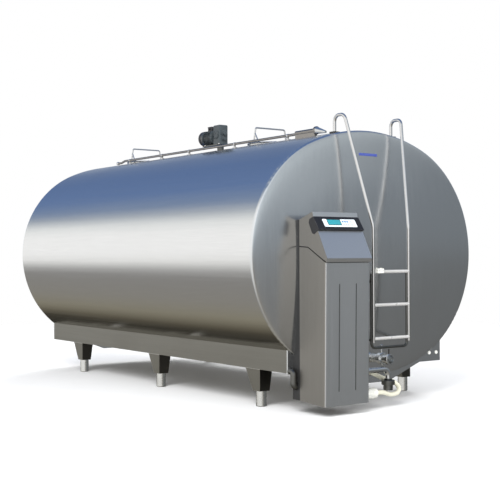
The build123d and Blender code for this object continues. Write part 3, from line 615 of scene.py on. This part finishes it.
# %% A bolt head, and a finished piece
def add_bolt(net, place, axis, across=0.013, washer=True):
    """A hexagon bolt head on its washer, its seat at the place given."""
    if washer:
        add_turned(net, [(0, across * 0.45), (0, across * 0.85), (0.0015, across * 0.85),
                         (0.0015, across * 0.45)], place, axis, 24)
    head = across * 0.577
    add_turned(net, [(0.001, 0), (0.001, head), (0.001 + across * 0.5, head),
                     (0.001 + across * 0.6, head * 0.86), (0.001 + across * 0.6, 0)],
               place, axis, 6)


def keep(name, net, finish, replaced=()):
    """Turns a bmesh into a finished piece that rides with the tank."""
    bmesh.ops.recalc_face_normals(net, faces=net.faces)
    mesh = bpy.data.meshes.new(name)
    net.to_mesh(mesh)
    net.free()
    mesh.shade_smooth()
    mesh.set_sharp_from_angle(angle=math.radians(32))
    mesh.materials.append(FINISH[finish])
    piece = bpy.data.objects.new(name, mesh)
    bpy.context.scene.collection.objects.link(piece)
    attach(piece, "root")
    if replaced:
        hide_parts(*replaced)
    print(name, len(mesh.polygons), "faces")
    return piece


# %% [markdown]
# ## Reading places from the solid model
# A fitting belongs where the real one sits: on a sheet, round a pipe, at the corner of a plate.
# Those places could be typed in, but they would be wrong as soon as a size changed. A part's box
# gives most of them. Where one part holds several solids, their boxes are found by walking its
# edges, and a ray finds the spot and the lean of a curved sheet.

# %% Boxes and surfaces
def corners_of(name):
    """The low and high corners of a solid part's box."""
    low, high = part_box(name)
    return Vector(low), Vector(high)


def islands(name):
    """The boxes of the separate solids that share one part, as (low, high) pairs."""
    net = bmesh.new()
    net.from_mesh(NODES[name].data)
    bmesh.ops.remove_doubles(net, verts=net.verts, dist=1e-5)
    found, seen = [], set()
    for first in net.verts:
        if first in seen:
            continue
        group, queue = [], [first]
        seen.add(first)
        while queue:
            vert = queue.pop()
            group.append(vert.co.copy())
            for edge in vert.link_edges:
                other = edge.other_vert(vert)
                if other not in seen:
                    seen.add(other)
                    queue.append(other)
        low = Vector([min(co[i] for co in group) for i in range(3)])
        high = Vector([max(co[i] for co in group) for i in range(3)])
        found.append((low, high))
    net.free()
    return found


def surface_at(name, start, direction):
    """Where a ray first meets a solid part, and the surface's normal there."""
    tree = BVHTree.FromPolygons([v.co for v in NODES[name].data.vertices],
                                [p.vertices for p in NODES[name].data.polygons])
    place, normal, _, _ = tree.ray_cast(Vector(start), Vector(direction))
    return place, normal


# %% The shell's own measures
belly_low, belly_high = corners_of("shell_belly")
REAR, FRONT, BELLY = belly_low.x, belly_high.x, belly_low.z
CROWN = corners_of("shell_crown_middle")[1].z
MIDDLE_HEIGHT = (CROWN + BELLY) / 2
print("shell from", round(REAR, 3), "to", round(FRONT, 3), "crown at", round(CROWN, 3))

# %% [markdown]
# ## The skin of the tank
# The real body is one sheet rolled to an oval and welded along the bottom, polished until the
# joints vanish. The solid model holds it as twelve strips, which is right for its structure but
# would show as breaks in the mirror bands. One closed tube in their place lets the reflections run
# from end to end. Its outline is four arcs: two flank arcs, and two flatter ones above and below.

# %% Roll the skin
HALF_WIDTH = (CAD_BOX[1][1] - CAD_BOX[0][1]) / 2
HALF_HEIGHT = (CROWN - BELLY) / 2
FLANK_RADIUS = 0.893
FLANK_OFFSET = HALF_WIDTH - FLANK_RADIUS
CROWN_RADIUS = ((FLANK_OFFSET ** 2 + HALF_HEIGHT ** 2 - FLANK_RADIUS ** 2)
                / (2 * (HALF_HEIGHT - FLANK_RADIUS)))
CROWN_OFFSET = CROWN_RADIUS - HALF_HEIGHT
ARC_JOINT = math.atan2(FLANK_OFFSET, CROWN_OFFSET)
WALL = 0.06


def oval_point(angle, out=0.0):
    """A point of the oval's outline: the angle runs from the crown towards +Y, out is beyond."""
    fold = abs((angle + math.pi) % math.tau - math.pi)
    side = 1 if math.sin(angle) >= 0 else -1
    if fold <= ARC_JOINT:
        y, z, radius = 0.0, -CROWN_OFFSET, CROWN_RADIUS
    elif fold < math.pi - ARC_JOINT:
        y, z, radius = FLANK_OFFSET, 0.0, FLANK_RADIUS
    else:
        y, z, radius = 0.0, CROWN_OFFSET, CROWN_RADIUS
    return (side * (y + (radius + out) * math.sin(fold)),
            MIDDLE_HEIGHT + z + (radius + out) * math.cos(fold))


def roll_skin(around_steps=288, along_steps=24):
    """A closed oval tube between the two rim planes."""
    net = bmesh.new()
    rows = []
    stations = [REAR + (FRONT - REAR) * step / along_steps for step in range(along_steps + 1)]
    for x, out in [(x, 0.0) for x in stations] + [(x, -WALL) for x in reversed(stations)]:
        rows.append([net.verts.new((x, *oval_point(math.tau * step / around_steps, out)))
                     for step in range(around_steps)])
    for low, high in zip(rows, rows[1:] + rows[:1]):
        for step in range(around_steps):
            far = (step + 1) % around_steps
            net.faces.new((low[step], low[far], high[far], high[step]))
    return keep("shell_skin", net, "shell_steel",
                replaced=[name for name in NODES if name.startswith("shell_")])


roll_skin()

# %% [markdown]
# ## Weld beads
# Wherever a ring, a post or a bracket meets another sheet, a thin bead of weld is left and lightly
# brushed. A bead could be painted with a bump, but a real rod with a ripple in its thickness
# catches a highlight of its own, and costs little.

# %% Outlines for the beads to follow
def circle_points(middle, radius, axis, count=48):
    """Points round a circle."""
    turn = Vector(axis).to_track_quat("Z", "X").to_matrix()
    return [Vector(middle) + turn @ Vector((radius * math.cos(a), radius * math.sin(a), 0))
            for a in (math.tau * step / count for step in range(count))]


def outline_points(corners, steps):
    """Evenly spaced points along the straight sides of a closed outline."""
    return [Vector(start).lerp(Vector(end), step / steps)
            for start, end in zip(corners, corners[1:] + corners[:1]) for step in range(steps)]


def crown_height_at(y):
    """The skin's height near the crown."""
    return MIDDLE_HEIGHT - CROWN_OFFSET + math.sqrt(CROWN_RADIUS ** 2 - y ** 2)


# %% Lay the beads
FINISH["weld_bead"] = steel("weld_bead", (0.62, 0.60, 0.55), 0.35, CLOSE, 0.2)
RING_BEAD, PIPE_BEAD = 0.0028, 0.0025


def lay_beads():
    """Beads round both manways, the outlet pipe and the tops of the six brackets."""
    net = bmesh.new()
    for index, (low, high) in enumerate(islands("manway_rings")):
        middle = (low + high) / 2
        radius = (high.x - low.x) / 2 + 0.002
        ring = [Vector((p.x, p.y, crown_height_at(p.y) + 0.0008))
                for p in circle_points((middle.x, middle.y, 0), radius, (0, 0, 1), 160)]
        add_rod(net, ring, RING_BEAD, 8, True, 0.18, index)
    low, high = corners_of("outlet_pipe")
    pipe_radius = (high.z - low.z) / 2
    height = (low.z + high.z) / 2
    dish, _ = surface_at("front_end", (FRONT + 0.3, pipe_radius + 0.004, height), (-1, 0, 0))
    add_rod(net, circle_points((dish.x + 0.0005, 0, height), pipe_radius + 0.001, (1, 0, 0), 60),
            PIPE_BEAD, 8, True, 0.2, 7)
    for index, (low, high) in enumerate(islands("foot_brackets")):
        inset, top = 0.0015, high.z - 0.001
        corners = [(low.x + inset, low.y + inset, top), (high.x - inset, low.y + inset, top),
                   (high.x - inset, high.y - inset, top), (low.x + inset, high.y - inset, top)]
        add_rod(net, outline_points(corners, 12), RING_BEAD, 8, True, 0.2, 20 + index)
    keep("weld_beads", net, "weld_bead")


lay_beads()

# %% [markdown]
# ## The control cabinet's panel
# A stainless cover stands before an inner frame, with a folded head on top. The head's sloping
# panel carries a small lit screen and a few soft keys under one printed film. They could be an
# image, but real pieces keep an edge that catches light: the screen is a thin pane with a clear
# coat, and each key is a low pad. All of them are placed by the panel's own directions, measured
# from its mesh.

# %% The sloping panel's own directions
panel_faces = [(face.area, face.normal.copy(), face.center.copy())
               for face in NODES["display_panel"].data.polygons
               if face.normal.x > 0.4 and face.normal.z > 0.2 and abs(face.normal.y) < 0.1]
panel_area = sum(area for area, _, _ in panel_faces)
panel_low, panel_high = corners_of("display_panel")
PANEL_WIDTH = panel_high.y - panel_low.y
PANEL_MIDDLE = sum((area * middle for area, _, middle in panel_faces), Vector()) / panel_area
PANEL_OUT = sum((area * normal for area, normal, _ in panel_faces), Vector()).normalized()
PANEL_ACROSS = Vector((0, 1, 0))
PANEL_UP = PANEL_OUT.cross(PANEL_ACROSS).normalized()
PANEL_TURN = Matrix((PANEL_ACROSS, PANEL_UP, PANEL_OUT)).transposed()
print("panel leans", round(math.degrees(math.asin(PANEL_OUT.z)), 1), "degrees back")


def on_panel(across, up, out=0.0):
    """A place on the panel, counted from its middle."""
    return PANEL_MIDDLE + across * PANEL_ACROSS + up * PANEL_UP + out * PANEL_OUT


# %% A lit screen
def lit_screen():
    """A teal screen with soft bars of light, as a reading shows, without any letters."""
    material, tree, shader = new_material("lit_screen")
    place = add_node(tree, "ShaderNodeTexCoord")
    wave = add_node(tree, "ShaderNodeTexWave", wave_type="BANDS", bands_direction="Z")
    for label, value in (("Scale", 55.0), ("Distortion", 1.5), ("Detail", 2.0)):
        wave.inputs[label].default_value = value
    tree.links.new(place.outputs["Object"], wave.inputs["Vector"])
    colour = mix_node(tree, map_node(tree, wave.outputs["Fac"], 0.3, 0.9),
                      (0.015, 0.16, 0.20), (0.04, 0.34, 0.40))
    tree.links.new(colour, shader.inputs["Base Color"])
    tree.links.new(colour, shader.inputs["Emission Color"])
    shader.inputs["Emission Strength"].default_value = 0.25
    smudge = noise_node(tree, place.outputs["Object"], 40.0, 3.0)
    tree.links.new(map_node(tree, smudge, 0.3, 0.7, 0.08, 0.2), shader.inputs["Roughness"])
    shader.inputs["Coat Weight"].default_value = 0.6
    return material


FINISH["lit_screen"] = lit_screen()

# %% Screen and surround
SCREEN_WIDTH, SCREEN_HEIGHT = 0.117, 0.043
SCREEN_UP = 0.006
SCREEN_ACROSS = -PANEL_WIDTH / 2 + 0.042 + SCREEN_WIDTH / 2
screen_net = bmesh.new()
add_block(screen_net, on_panel(SCREEN_ACROSS, SCREEN_UP, 0.0006),
          (SCREEN_WIDTH, SCREEN_HEIGHT, 0.0016), 0.0006, PANEL_TURN)
keep("display_screen", screen_net, "lit_screen")

surround_net = bmesh.new()
half_w, half_h = SCREEN_WIDTH / 2 + 0.003, SCREEN_HEIGHT / 2 + 0.003
surround_corners = [on_panel(SCREEN_ACROSS + across, SCREEN_UP + up, 0.0002)
                    for across, up in ((-half_w, -half_h), (half_w, -half_h),
                                       (half_w, half_h), (-half_w, half_h))]
add_rod(surround_net, outline_points(surround_corners, 10), 0.0022, 8, True)
keep("display_surround", surround_net, "bezel_black")

# %% Keys in two rows
UPPER_ROW, LOWER_ROW = 0.012, -0.014
KEY_COLUMNS, LAST_COLUMN = (0.030, 0.052, 0.074), 0.108
KEY_SIZE = (0.016, 0.013, 0.0022)
for label, finish, spots in (
    ("blue_keys", "key_blue", [(column, UPPER_ROW) for column in KEY_COLUMNS]),
    ("grey_keys", "key_grey", [(column, LOWER_ROW) for column in KEY_COLUMNS]
     + [(LAST_COLUMN, UPPER_ROW), (LAST_COLUMN, LOWER_ROW)]),
):
    key_net = bmesh.new()
    for across, up in spots:
        add_block(key_net, on_panel(across, up, 0.0008), KEY_SIZE, 0.0009, PANEL_TURN)
    keep(label, key_net, finish)

# %% [markdown]
# ## The two long grooves
# Two pressed grooves stiffen the cover's front. Shade keeps them dark, which a shallow
# groove in bright steel would not show by itself. Deeper grooves in the solid would say the same
# but weaken its shape, so a thin near-black strip, a painted shadow, lies at the bottom of each.
# Rays near the top and the bottom of the groove find where its floor is.

# %% Line the grooves with a painted shadow strip
GROOVE_ASIDE = 0.078
GROOVE_LOW, GROOVE_HIGH = 0.185, 0.926
cover_low, cover_high = corners_of("cabinet_cover")
groove_shadow_net = bmesh.new()
for aside in (-GROOVE_ASIDE, GROOVE_ASIDE):
    y = (cover_low.y + cover_high.y) / 2 + aside
    foot, _ = surface_at("cabinet_cover", (FRONT + 1, y, GROOVE_LOW), (-1, 0, 0))
    head, _ = surface_at("cabinet_cover", (FRONT + 1, y, GROOVE_HIGH), (-1, 0, 0))
    upward = (head - foot).normalized()
    outward = Vector((0, 1, 0)).cross(upward)
    turn = Matrix((Vector((0, 1, 0)), upward, outward)).transposed()
    add_block(groove_shadow_net, (foot + head) / 2, (0.0066, (head - foot).length + 0.016, 0.0012),
              0.0004, turn)
keep("groove_shadow_strips", groove_shadow_net, "cabinet_core")

# %% [markdown]
# ## Plugs, strip and rung block
# Two white caps close spare openings in the apron. A narrow blue strip is stuck on the dish near
# the crown, left blank here. A white block is clamped round the top rung. The strip could be a
# patch of colour in the steel's material, but a thin real strip keeps its edge in any light. It
# has to lie on a domed sheet, so its place and lean are read from the dish with a ray.

# %% Plugs in the apron
PLUG_HEIGHT, PLUGS_ACROSS = 0.350, (0.659, 0.738)
plug_net = bmesh.new()
for y in PLUGS_ACROSS:
    add_turned(plug_net, [(0, 0.013), (0.001, 0.014), (0.0035, 0.0138), (0.005, 0.011),
                          (0.0045, 0.006), (0.0045, 0)], (FRONT, y, PLUG_HEIGHT), (1, 0, 0), 40)
keep("apron_plugs", plug_net, "fitting_white")

# %% The blank strip on the dish
STRIP_PLACE = (-0.032, 1.901)
strip_spot, strip_out = surface_at("front_end", (FRONT + 0.4, *STRIP_PLACE), (-1, 0, 0))
strip_up = (Vector((0, 0, 1)) - strip_out.z * strip_out).normalized()
strip_turn = Matrix((strip_up.cross(strip_out), strip_up, strip_out)).transposed()
strip_net = bmesh.new()
add_block(strip_net, strip_spot, (0.184, 0.021, 0.003), 0.0012, strip_turn)
keep("blue_strip", strip_net, "strip_blue")

# %% The block on the top rung
rung_low, rung_high = max(islands("ladder_rungs"), key=lambda box: box[1].z)
rung = (rung_low + rung_high) / 2
block_net = bmesh.new()
for rise in (-0.003, 0.015):
    add_block(block_net, (rung.x, -0.126, rung.z + rise), (0.046, 0.066, 0.0175), 0.004)
for y in (-0.148, -0.104):
    add_bolt(block_net, (rung.x, y, rung.z + 0.0225), (0, 0, 1), 0.009, False)
keep("rung_block", block_net, "fitting_white")

# %% [markdown]
# ## Manway seals and hinges
# Each manway lid sits on a rubber seal and turns on a small hinge. A seal is a lathe shape, but a
# soft rod bent round a circle is shorter to write and already has the round edge. A ring of low
# domed screws holds the lid's rim.

# %% Seals and hinges
def button_profile(radius):
    """A low domed screw head with a dimple for the key."""
    return [(0, 0), (0, radius), (radius * 0.25, radius * 0.96), (radius * 0.5, radius * 0.7),
            (radius * 0.56, radius * 0.42), (radius * 0.3, radius * 0.38), (radius * 0.3, 0)]


LID_SCREWS = 8
seal_net = bmesh.new()
hinge_net = bmesh.new()
for low, high in islands("manway_lids"):
    middle = (low + high) / 2
    radius = (high.x - low.x) / 2
    add_rod(seal_net, circle_points((middle.x, middle.y, low.z - 0.0004), radius - 0.0025,
                                    (0, 0, 1), 120), 0.0022, 8, True)
    hinge_x, pin_z = low.x - 0.016, low.z + 0.006
    add_rod(hinge_net, [(hinge_x, -0.055, pin_z), (hinge_x, 0.055, pin_z)], 0.008, 20)
    for y in (-0.034, 0.034):
        seat = crown_height_at(y)
        add_block(hinge_net, (hinge_x + 0.020, y, high.z - 0.001), (0.056, 0.022, 0.005), 0.0012)
        add_block(hinge_net, (hinge_x - 0.004, y, (seat + low.z) / 2),
                  (0.018, 0.020, low.z - seat + 0.010), 0.0012)
    for step in range(LID_SCREWS):
        angle = math.tau * (step + 0.5) / LID_SCREWS
        add_turned(hinge_net, button_profile(0.007),
                   (middle.x + (radius - 0.022) * math.cos(angle),
                    (radius - 0.022) * math.sin(angle), high.z), (0, 0, 1), 20)
keep("lid_seals", seal_net, "pad_rubber")
keep("lid_hinges", hinge_net, "lid_steel")

# %% [markdown]
# ## Saddles on the wash rail
# The rail that carries wash water along the crown stands on posts. Each post has a round pad on
# the skin and a band round the rail, and the rail closes in a swollen cap. Pads on a curved crown
# have to lean with it, so each one's axis points away from the middle of the crown's arc.

# %% Saddles
SADDLES_BEHIND_RIM = (0.700, 1.450, 2.183, 2.669, 3.300)
rail_low, rail_high = corners_of("wash_rail")
rail_y = (rail_low.y + rail_high.y) / 2
rail_z = rail_high.z - (rail_high.y - rail_low.y) / 2
pad_z = crown_height_at(rail_y)
pad_lean = Vector((0, rail_y, pad_z - MIDDLE_HEIGHT + CROWN_OFFSET)).normalized()
saddle_net = bmesh.new()
for behind in SADDLES_BEHIND_RIM:
    add_turned(saddle_net, [(-0.004, 0), (-0.004, 0.023), (0.0025, 0.023), (0.004, 0.021),
                            (0.004, 0.011), (0.012, 0.0095), (0.012, 0)],
               (FRONT - behind, rail_y, pad_z), pad_lean, 32)
    add_turned(saddle_net, [(-0.009, 0.0115), (-0.009, 0.0135), (0.009, 0.0135), (0.009, 0.0115)],
               (FRONT - behind, rail_y, rail_z), (1, 0, 0), 32)
add_turned(saddle_net, [(-0.006, 0), (-0.006, 0.0125), (0.002, 0.0165), (0.016, 0.0170),
                        (0.024, 0.0135), (0.027, 0.007), (0.028, 0)],
           (rail_low.x, rail_y, rail_z - 0.015), (1, 0, 0), 32)
keep("rail_saddles", saddle_net, "tube_steel")

# %% [markdown]
# ## The agitator's motor
# A small geared motor stands on a plate above the crown and turns a paddle inside. Its motor has
# cooling fins, a box for the wires and a fan behind a grille. The fins are the part a plain
# cylinder lacks, so the motor's solid is replaced by a finned one of the same outer size. An Array
# modifier could repeat the fin, but a short loop also leaves out the ones under the wire box.

# %% Finned motor
motor_low, motor_high = corners_of("agitator_motor")
fan_low, fan_high = corners_of("agitator_fan_cover")
MOTOR_BACK, MOTOR_LENGTH = motor_low.x, motor_high.x - motor_low.x
MOTOR_RADIUS = (fan_high.z - fan_low.z) / 2
MOTOR_AXIS = (fan_high.z + fan_low.z) / 2
MOTOR_MIDDLE = Vector((MOTOR_BACK + MOTOR_LENGTH / 2 - 0.006, 0, MOTOR_AXIS))
FIN_ROOT = MOTOR_RADIUS - 0.010
FIN_COUNT = 36
motor_net = bmesh.new()
add_turned(motor_net, [(0, 0), (0, MOTOR_RADIUS - 0.002), (0.012, MOTOR_RADIUS - 0.001),
                       (0.014, FIN_ROOT), (MOTOR_LENGTH - 0.030, FIN_ROOT),
                       (MOTOR_LENGTH - 0.028, MOTOR_RADIUS - 0.001),
                       (MOTOR_LENGTH - 0.014, MOTOR_RADIUS - 0.003),
                       (MOTOR_LENGTH - 0.012, 0.058), (MOTOR_LENGTH, 0.058),
                       (MOTOR_LENGTH, 0)], (MOTOR_BACK, 0, MOTOR_AXIS), (1, 0, 0), 64)
for step in range(FIN_COUNT):
    angle = math.tau * (step + 0.5) / FIN_COUNT
    if math.cos(angle) > 0.9:
        continue
    spoke = Vector((0, math.sin(angle), math.cos(angle)))
    turn = Matrix((Vector((1, 0, 0)), spoke.cross(Vector((1, 0, 0))), spoke)).transposed()
    add_block(motor_net, MOTOR_MIDDLE + spoke * (MOTOR_RADIUS - 0.0065),
              (MOTOR_LENGTH - 0.044, 0.0022, 0.013), 0.0006, turn)
for y in (-0.040, 0.040):
    for z in (-0.040, 0.040):
        add_bolt(motor_net, (motor_high.x - 0.012, y, MOTOR_AXIS + z), (-1, 0, 0), 0.010, False)
keep("finned_motor", motor_net, "machine_grey", replaced=["agitator_motor"])

# %% Terminal box
box_net = bmesh.new()
box_low, box_top = MOTOR_AXIS + MOTOR_RADIUS - 0.012, motor_high.z - 0.007
add_block(box_net, (MOTOR_MIDDLE.x, 0, (box_low + box_top) / 2), (0.066, 0.048, box_top - box_low),
          0.003)
add_block(box_net, (MOTOR_MIDDLE.x, 0, motor_high.z - 0.0045), (0.070, 0.052, 0.008), 0.002)
for x in (-0.027, 0.027):
    for y in (-0.018, 0.018):
        add_turned(box_net, button_profile(0.003), (MOTOR_MIDDLE.x + x, y, motor_high.z - 0.002),
                   (0, 0, 1), 14)
add_turned(box_net, [(0, 0), (0, 0.011), (0.004, 0.011), (0.004, 0.009), (0.013, 0.009),
                     (0.015, 0.006), (0.015, 0)],
           (MOTOR_MIDDLE.x, -0.024, motor_high.z - 0.020), (0, -1, 0), 24)
keep("terminal_box", box_net, "motor_black")

# %% Fan grille
grille_net = bmesh.new()
hub = Vector((fan_low.x + 0.0014, 0, MOTOR_AXIS))
for radius in (0.018, 0.028, 0.038, 0.048):
    add_rod(grille_net, circle_points(hub, radius, (1, 0, 0), 60), 0.0016, 8, True)
for step in range(6):
    angle = math.tau * step / 6
    spoke = Vector((0, math.cos(angle), math.sin(angle)))
    add_rod(grille_net, [hub + spoke * 0.010, hub + spoke * 0.052], 0.0015, 8)
add_turned(grille_net, [(0, 0.0692), (0.003, 0.0692), (0.003, 0.0688), (0, 0.0688)],
           (fan_high.x - 0.008, 0, MOTOR_AXIS), (1, 0, 0), 64)
keep("fan_grille", grille_net, "tube_steel")

# %% [markdown]
# ## The gearbox and its plate
# The gearbox is a casting with screwed covers, and its feet and the plate under it are bolted
# down. The casting's own shape is in the solid model. What makes it read as a machine is the set
# of bosses, covers and bolt heads on it, so they are added as one piece, and the plate's bolts as
# another.

# %% Covers, bosses and bolts
gear_low, gear_high = corners_of("agitator_gearbox")
gear_middle = (gear_low + gear_high) / 2
gear_net = bmesh.new()
for y in (-0.032, 0.032):
    for x in (-0.038, 0.038):
        add_bolt(gear_net, (gear_middle.x + x, y, gear_high.z - 0.010), (0, 0, 1), 0.011, False)
        add_bolt(gear_net, (gear_middle.x + x * 1.25, y * 1.22, gear_low.z + 0.004), (0, 0, 1),
                 0.011, False)
for drop, radius, reach in ((0.077, 0.020, 0.026), (0.132, 0.013, 0.018)):
    add_turned(gear_net, [(-0.002, 0), (-0.002, radius + 0.008), (0.004, radius + 0.008),
                          (0.005, radius), (reach, radius), (reach + 0.002, radius - 0.003),
                          (reach + 0.002, 0)], (gear_high.x, 0, gear_high.z - drop), (1, 0, 0), 32)
cover_z = gear_middle.z + 0.002
for side in (-1, 1):
    add_turned(gear_net, [(-0.003, 0), (-0.003, 0.040), (0.004, 0.040), (0.006, 0.036),
                          (0.006, 0.018), (0.003, 0.016), (0.003, 0)],
               (gear_middle.x, side * gear_high.y, cover_z), (0, side, 0), 40)
    for step in range(6):
        angle = math.tau * step / 6
        add_bolt(gear_net, (gear_middle.x + 0.030 * math.cos(angle),
                            side * (gear_high.y + 0.0045), cover_z + 0.030 * math.sin(angle)),
                 (0, side, 0), 0.008, False)
keep("gearbox_fittings", gear_net, "machine_grey")

# %% Bolts on the plate and the neck
plate_low, plate_high = corners_of("agitator_base")
plate_net = bmesh.new()
for x in (plate_low.x + 0.02, plate_high.x - 0.02):
    for y in (plate_low.y + 0.018, plate_high.y - 0.018):
        add_bolt(plate_net, (x, y, plate_high.z), (0, 0, 1), 0.013)
for spot in circle_points((gear_middle.x, 0, CROWN + 0.010), 0.050, (0, 0, 1), 6):
    add_bolt(plate_net, spot, (0, 0, 1), 0.011, False)
keep("plate_bolts", plate_net, "tube_steel")

# %% [markdown]
# ## Outlet, return and hose
# Milk leaves low on the end through a valve and an open ferrule with a clamp. Beside it a wash
# return pipe drops into a ribbed union, and a cream hose runs to a white fitting. The pipes and
# the hose are in the solid model. Bolts round the valve, its handle, the union's grip and the
# fitting's rings are too fine for it, and they make these read as working parts.

# %% Valve bolts, handle and pipe band
VALVE_BOLTS = 8
pipe_low, pipe_high = corners_of("outlet_pipe")
valve_low, valve_high = corners_of("outlet_valve")
outlet_z = (pipe_low.z + pipe_high.z) / 2
bolt_circle = (valve_high.z - valve_low.z) / 2 - 0.0065
outlet_net = bmesh.new()
for step in range(VALVE_BOLTS):
    angle = math.tau * (step + 0.5) / VALVE_BOLTS
    y, z = bolt_circle * math.cos(angle), outlet_z + bolt_circle * math.sin(angle)
    for face, outward in ((valve_low.x, -1), (valve_high.x, 1)):
        add_bolt(outlet_net, (face, y, z), (outward, 0, 0), 0.007, False)
add_turned(outlet_net, [(-0.004, 0), (-0.004, 0.010), (0.016, 0.010), (0.018, 0.007),
                        (0.040, 0.007), (0.042, 0.012), (0.056, 0.013), (0.060, 0.009),
                        (0.060, 0)], ((valve_low.x + valve_high.x) / 2, 0, valve_high.z),
           (0, 0, 1), 28)
add_turned(outlet_net, [(0, 0.0335), (0, 0.0365), (0.006, 0.0365), (0.006, 0.0335)],
           (pipe_low.x + 0.072, 0, outlet_z), (1, 0, 0), 48)
keep("outlet_details", outlet_net, "pipe_steel")

# %% The union's grip
GRIP_RIBS = 24
union_low, union_high = corners_of("return_union")
union_middle = (union_low + union_high) / 2
union_net = bmesh.new()
for step in range(GRIP_RIBS):
    angle = math.tau * step / GRIP_RIBS
    spoke = Vector((math.cos(angle), math.sin(angle), 0))
    turn = Matrix((spoke, Vector((0, 0, 1)).cross(spoke), Vector((0, 0, 1)))).transposed()
    add_block(union_net, Vector((union_middle.x, union_middle.y, union_high.z - 0.018))
              + spoke * 0.0478, (0.004, 0.006, 0.028), 0.001, turn)
add_turned(union_net, [(0, 0.0208), (0, 0.028), (0.004, 0.030), (0.010, 0.030), (0.012, 0.026),
                       (0.012, 0.0208)], (union_middle.x, union_middle.y, union_high.z),
           (0, 0, 1), 40)
keep("union_ribs", union_net, "dark_steel")

# %% Rings on the hose fitting
fitting_low, fitting_high = corners_of("hose_fitting")
fitting_middle = (fitting_low + fitting_high) / 2
fitting_radius = (fitting_high.z - fitting_low.z) / 2
ring_net = bmesh.new()
for back in (0.018, 0.034, 0.050):
    add_turned(ring_net, [(0, fitting_radius - 0.002), (0, fitting_radius + 0.002),
                          (0.006, fitting_radius + 0.002), (0.006, fitting_radius - 0.002)],
               (fitting_middle.x, fitting_high.y - back, fitting_middle.z), (0, 1, 0), 48)
keep("fitting_rings", ring_net, "fitting_white")
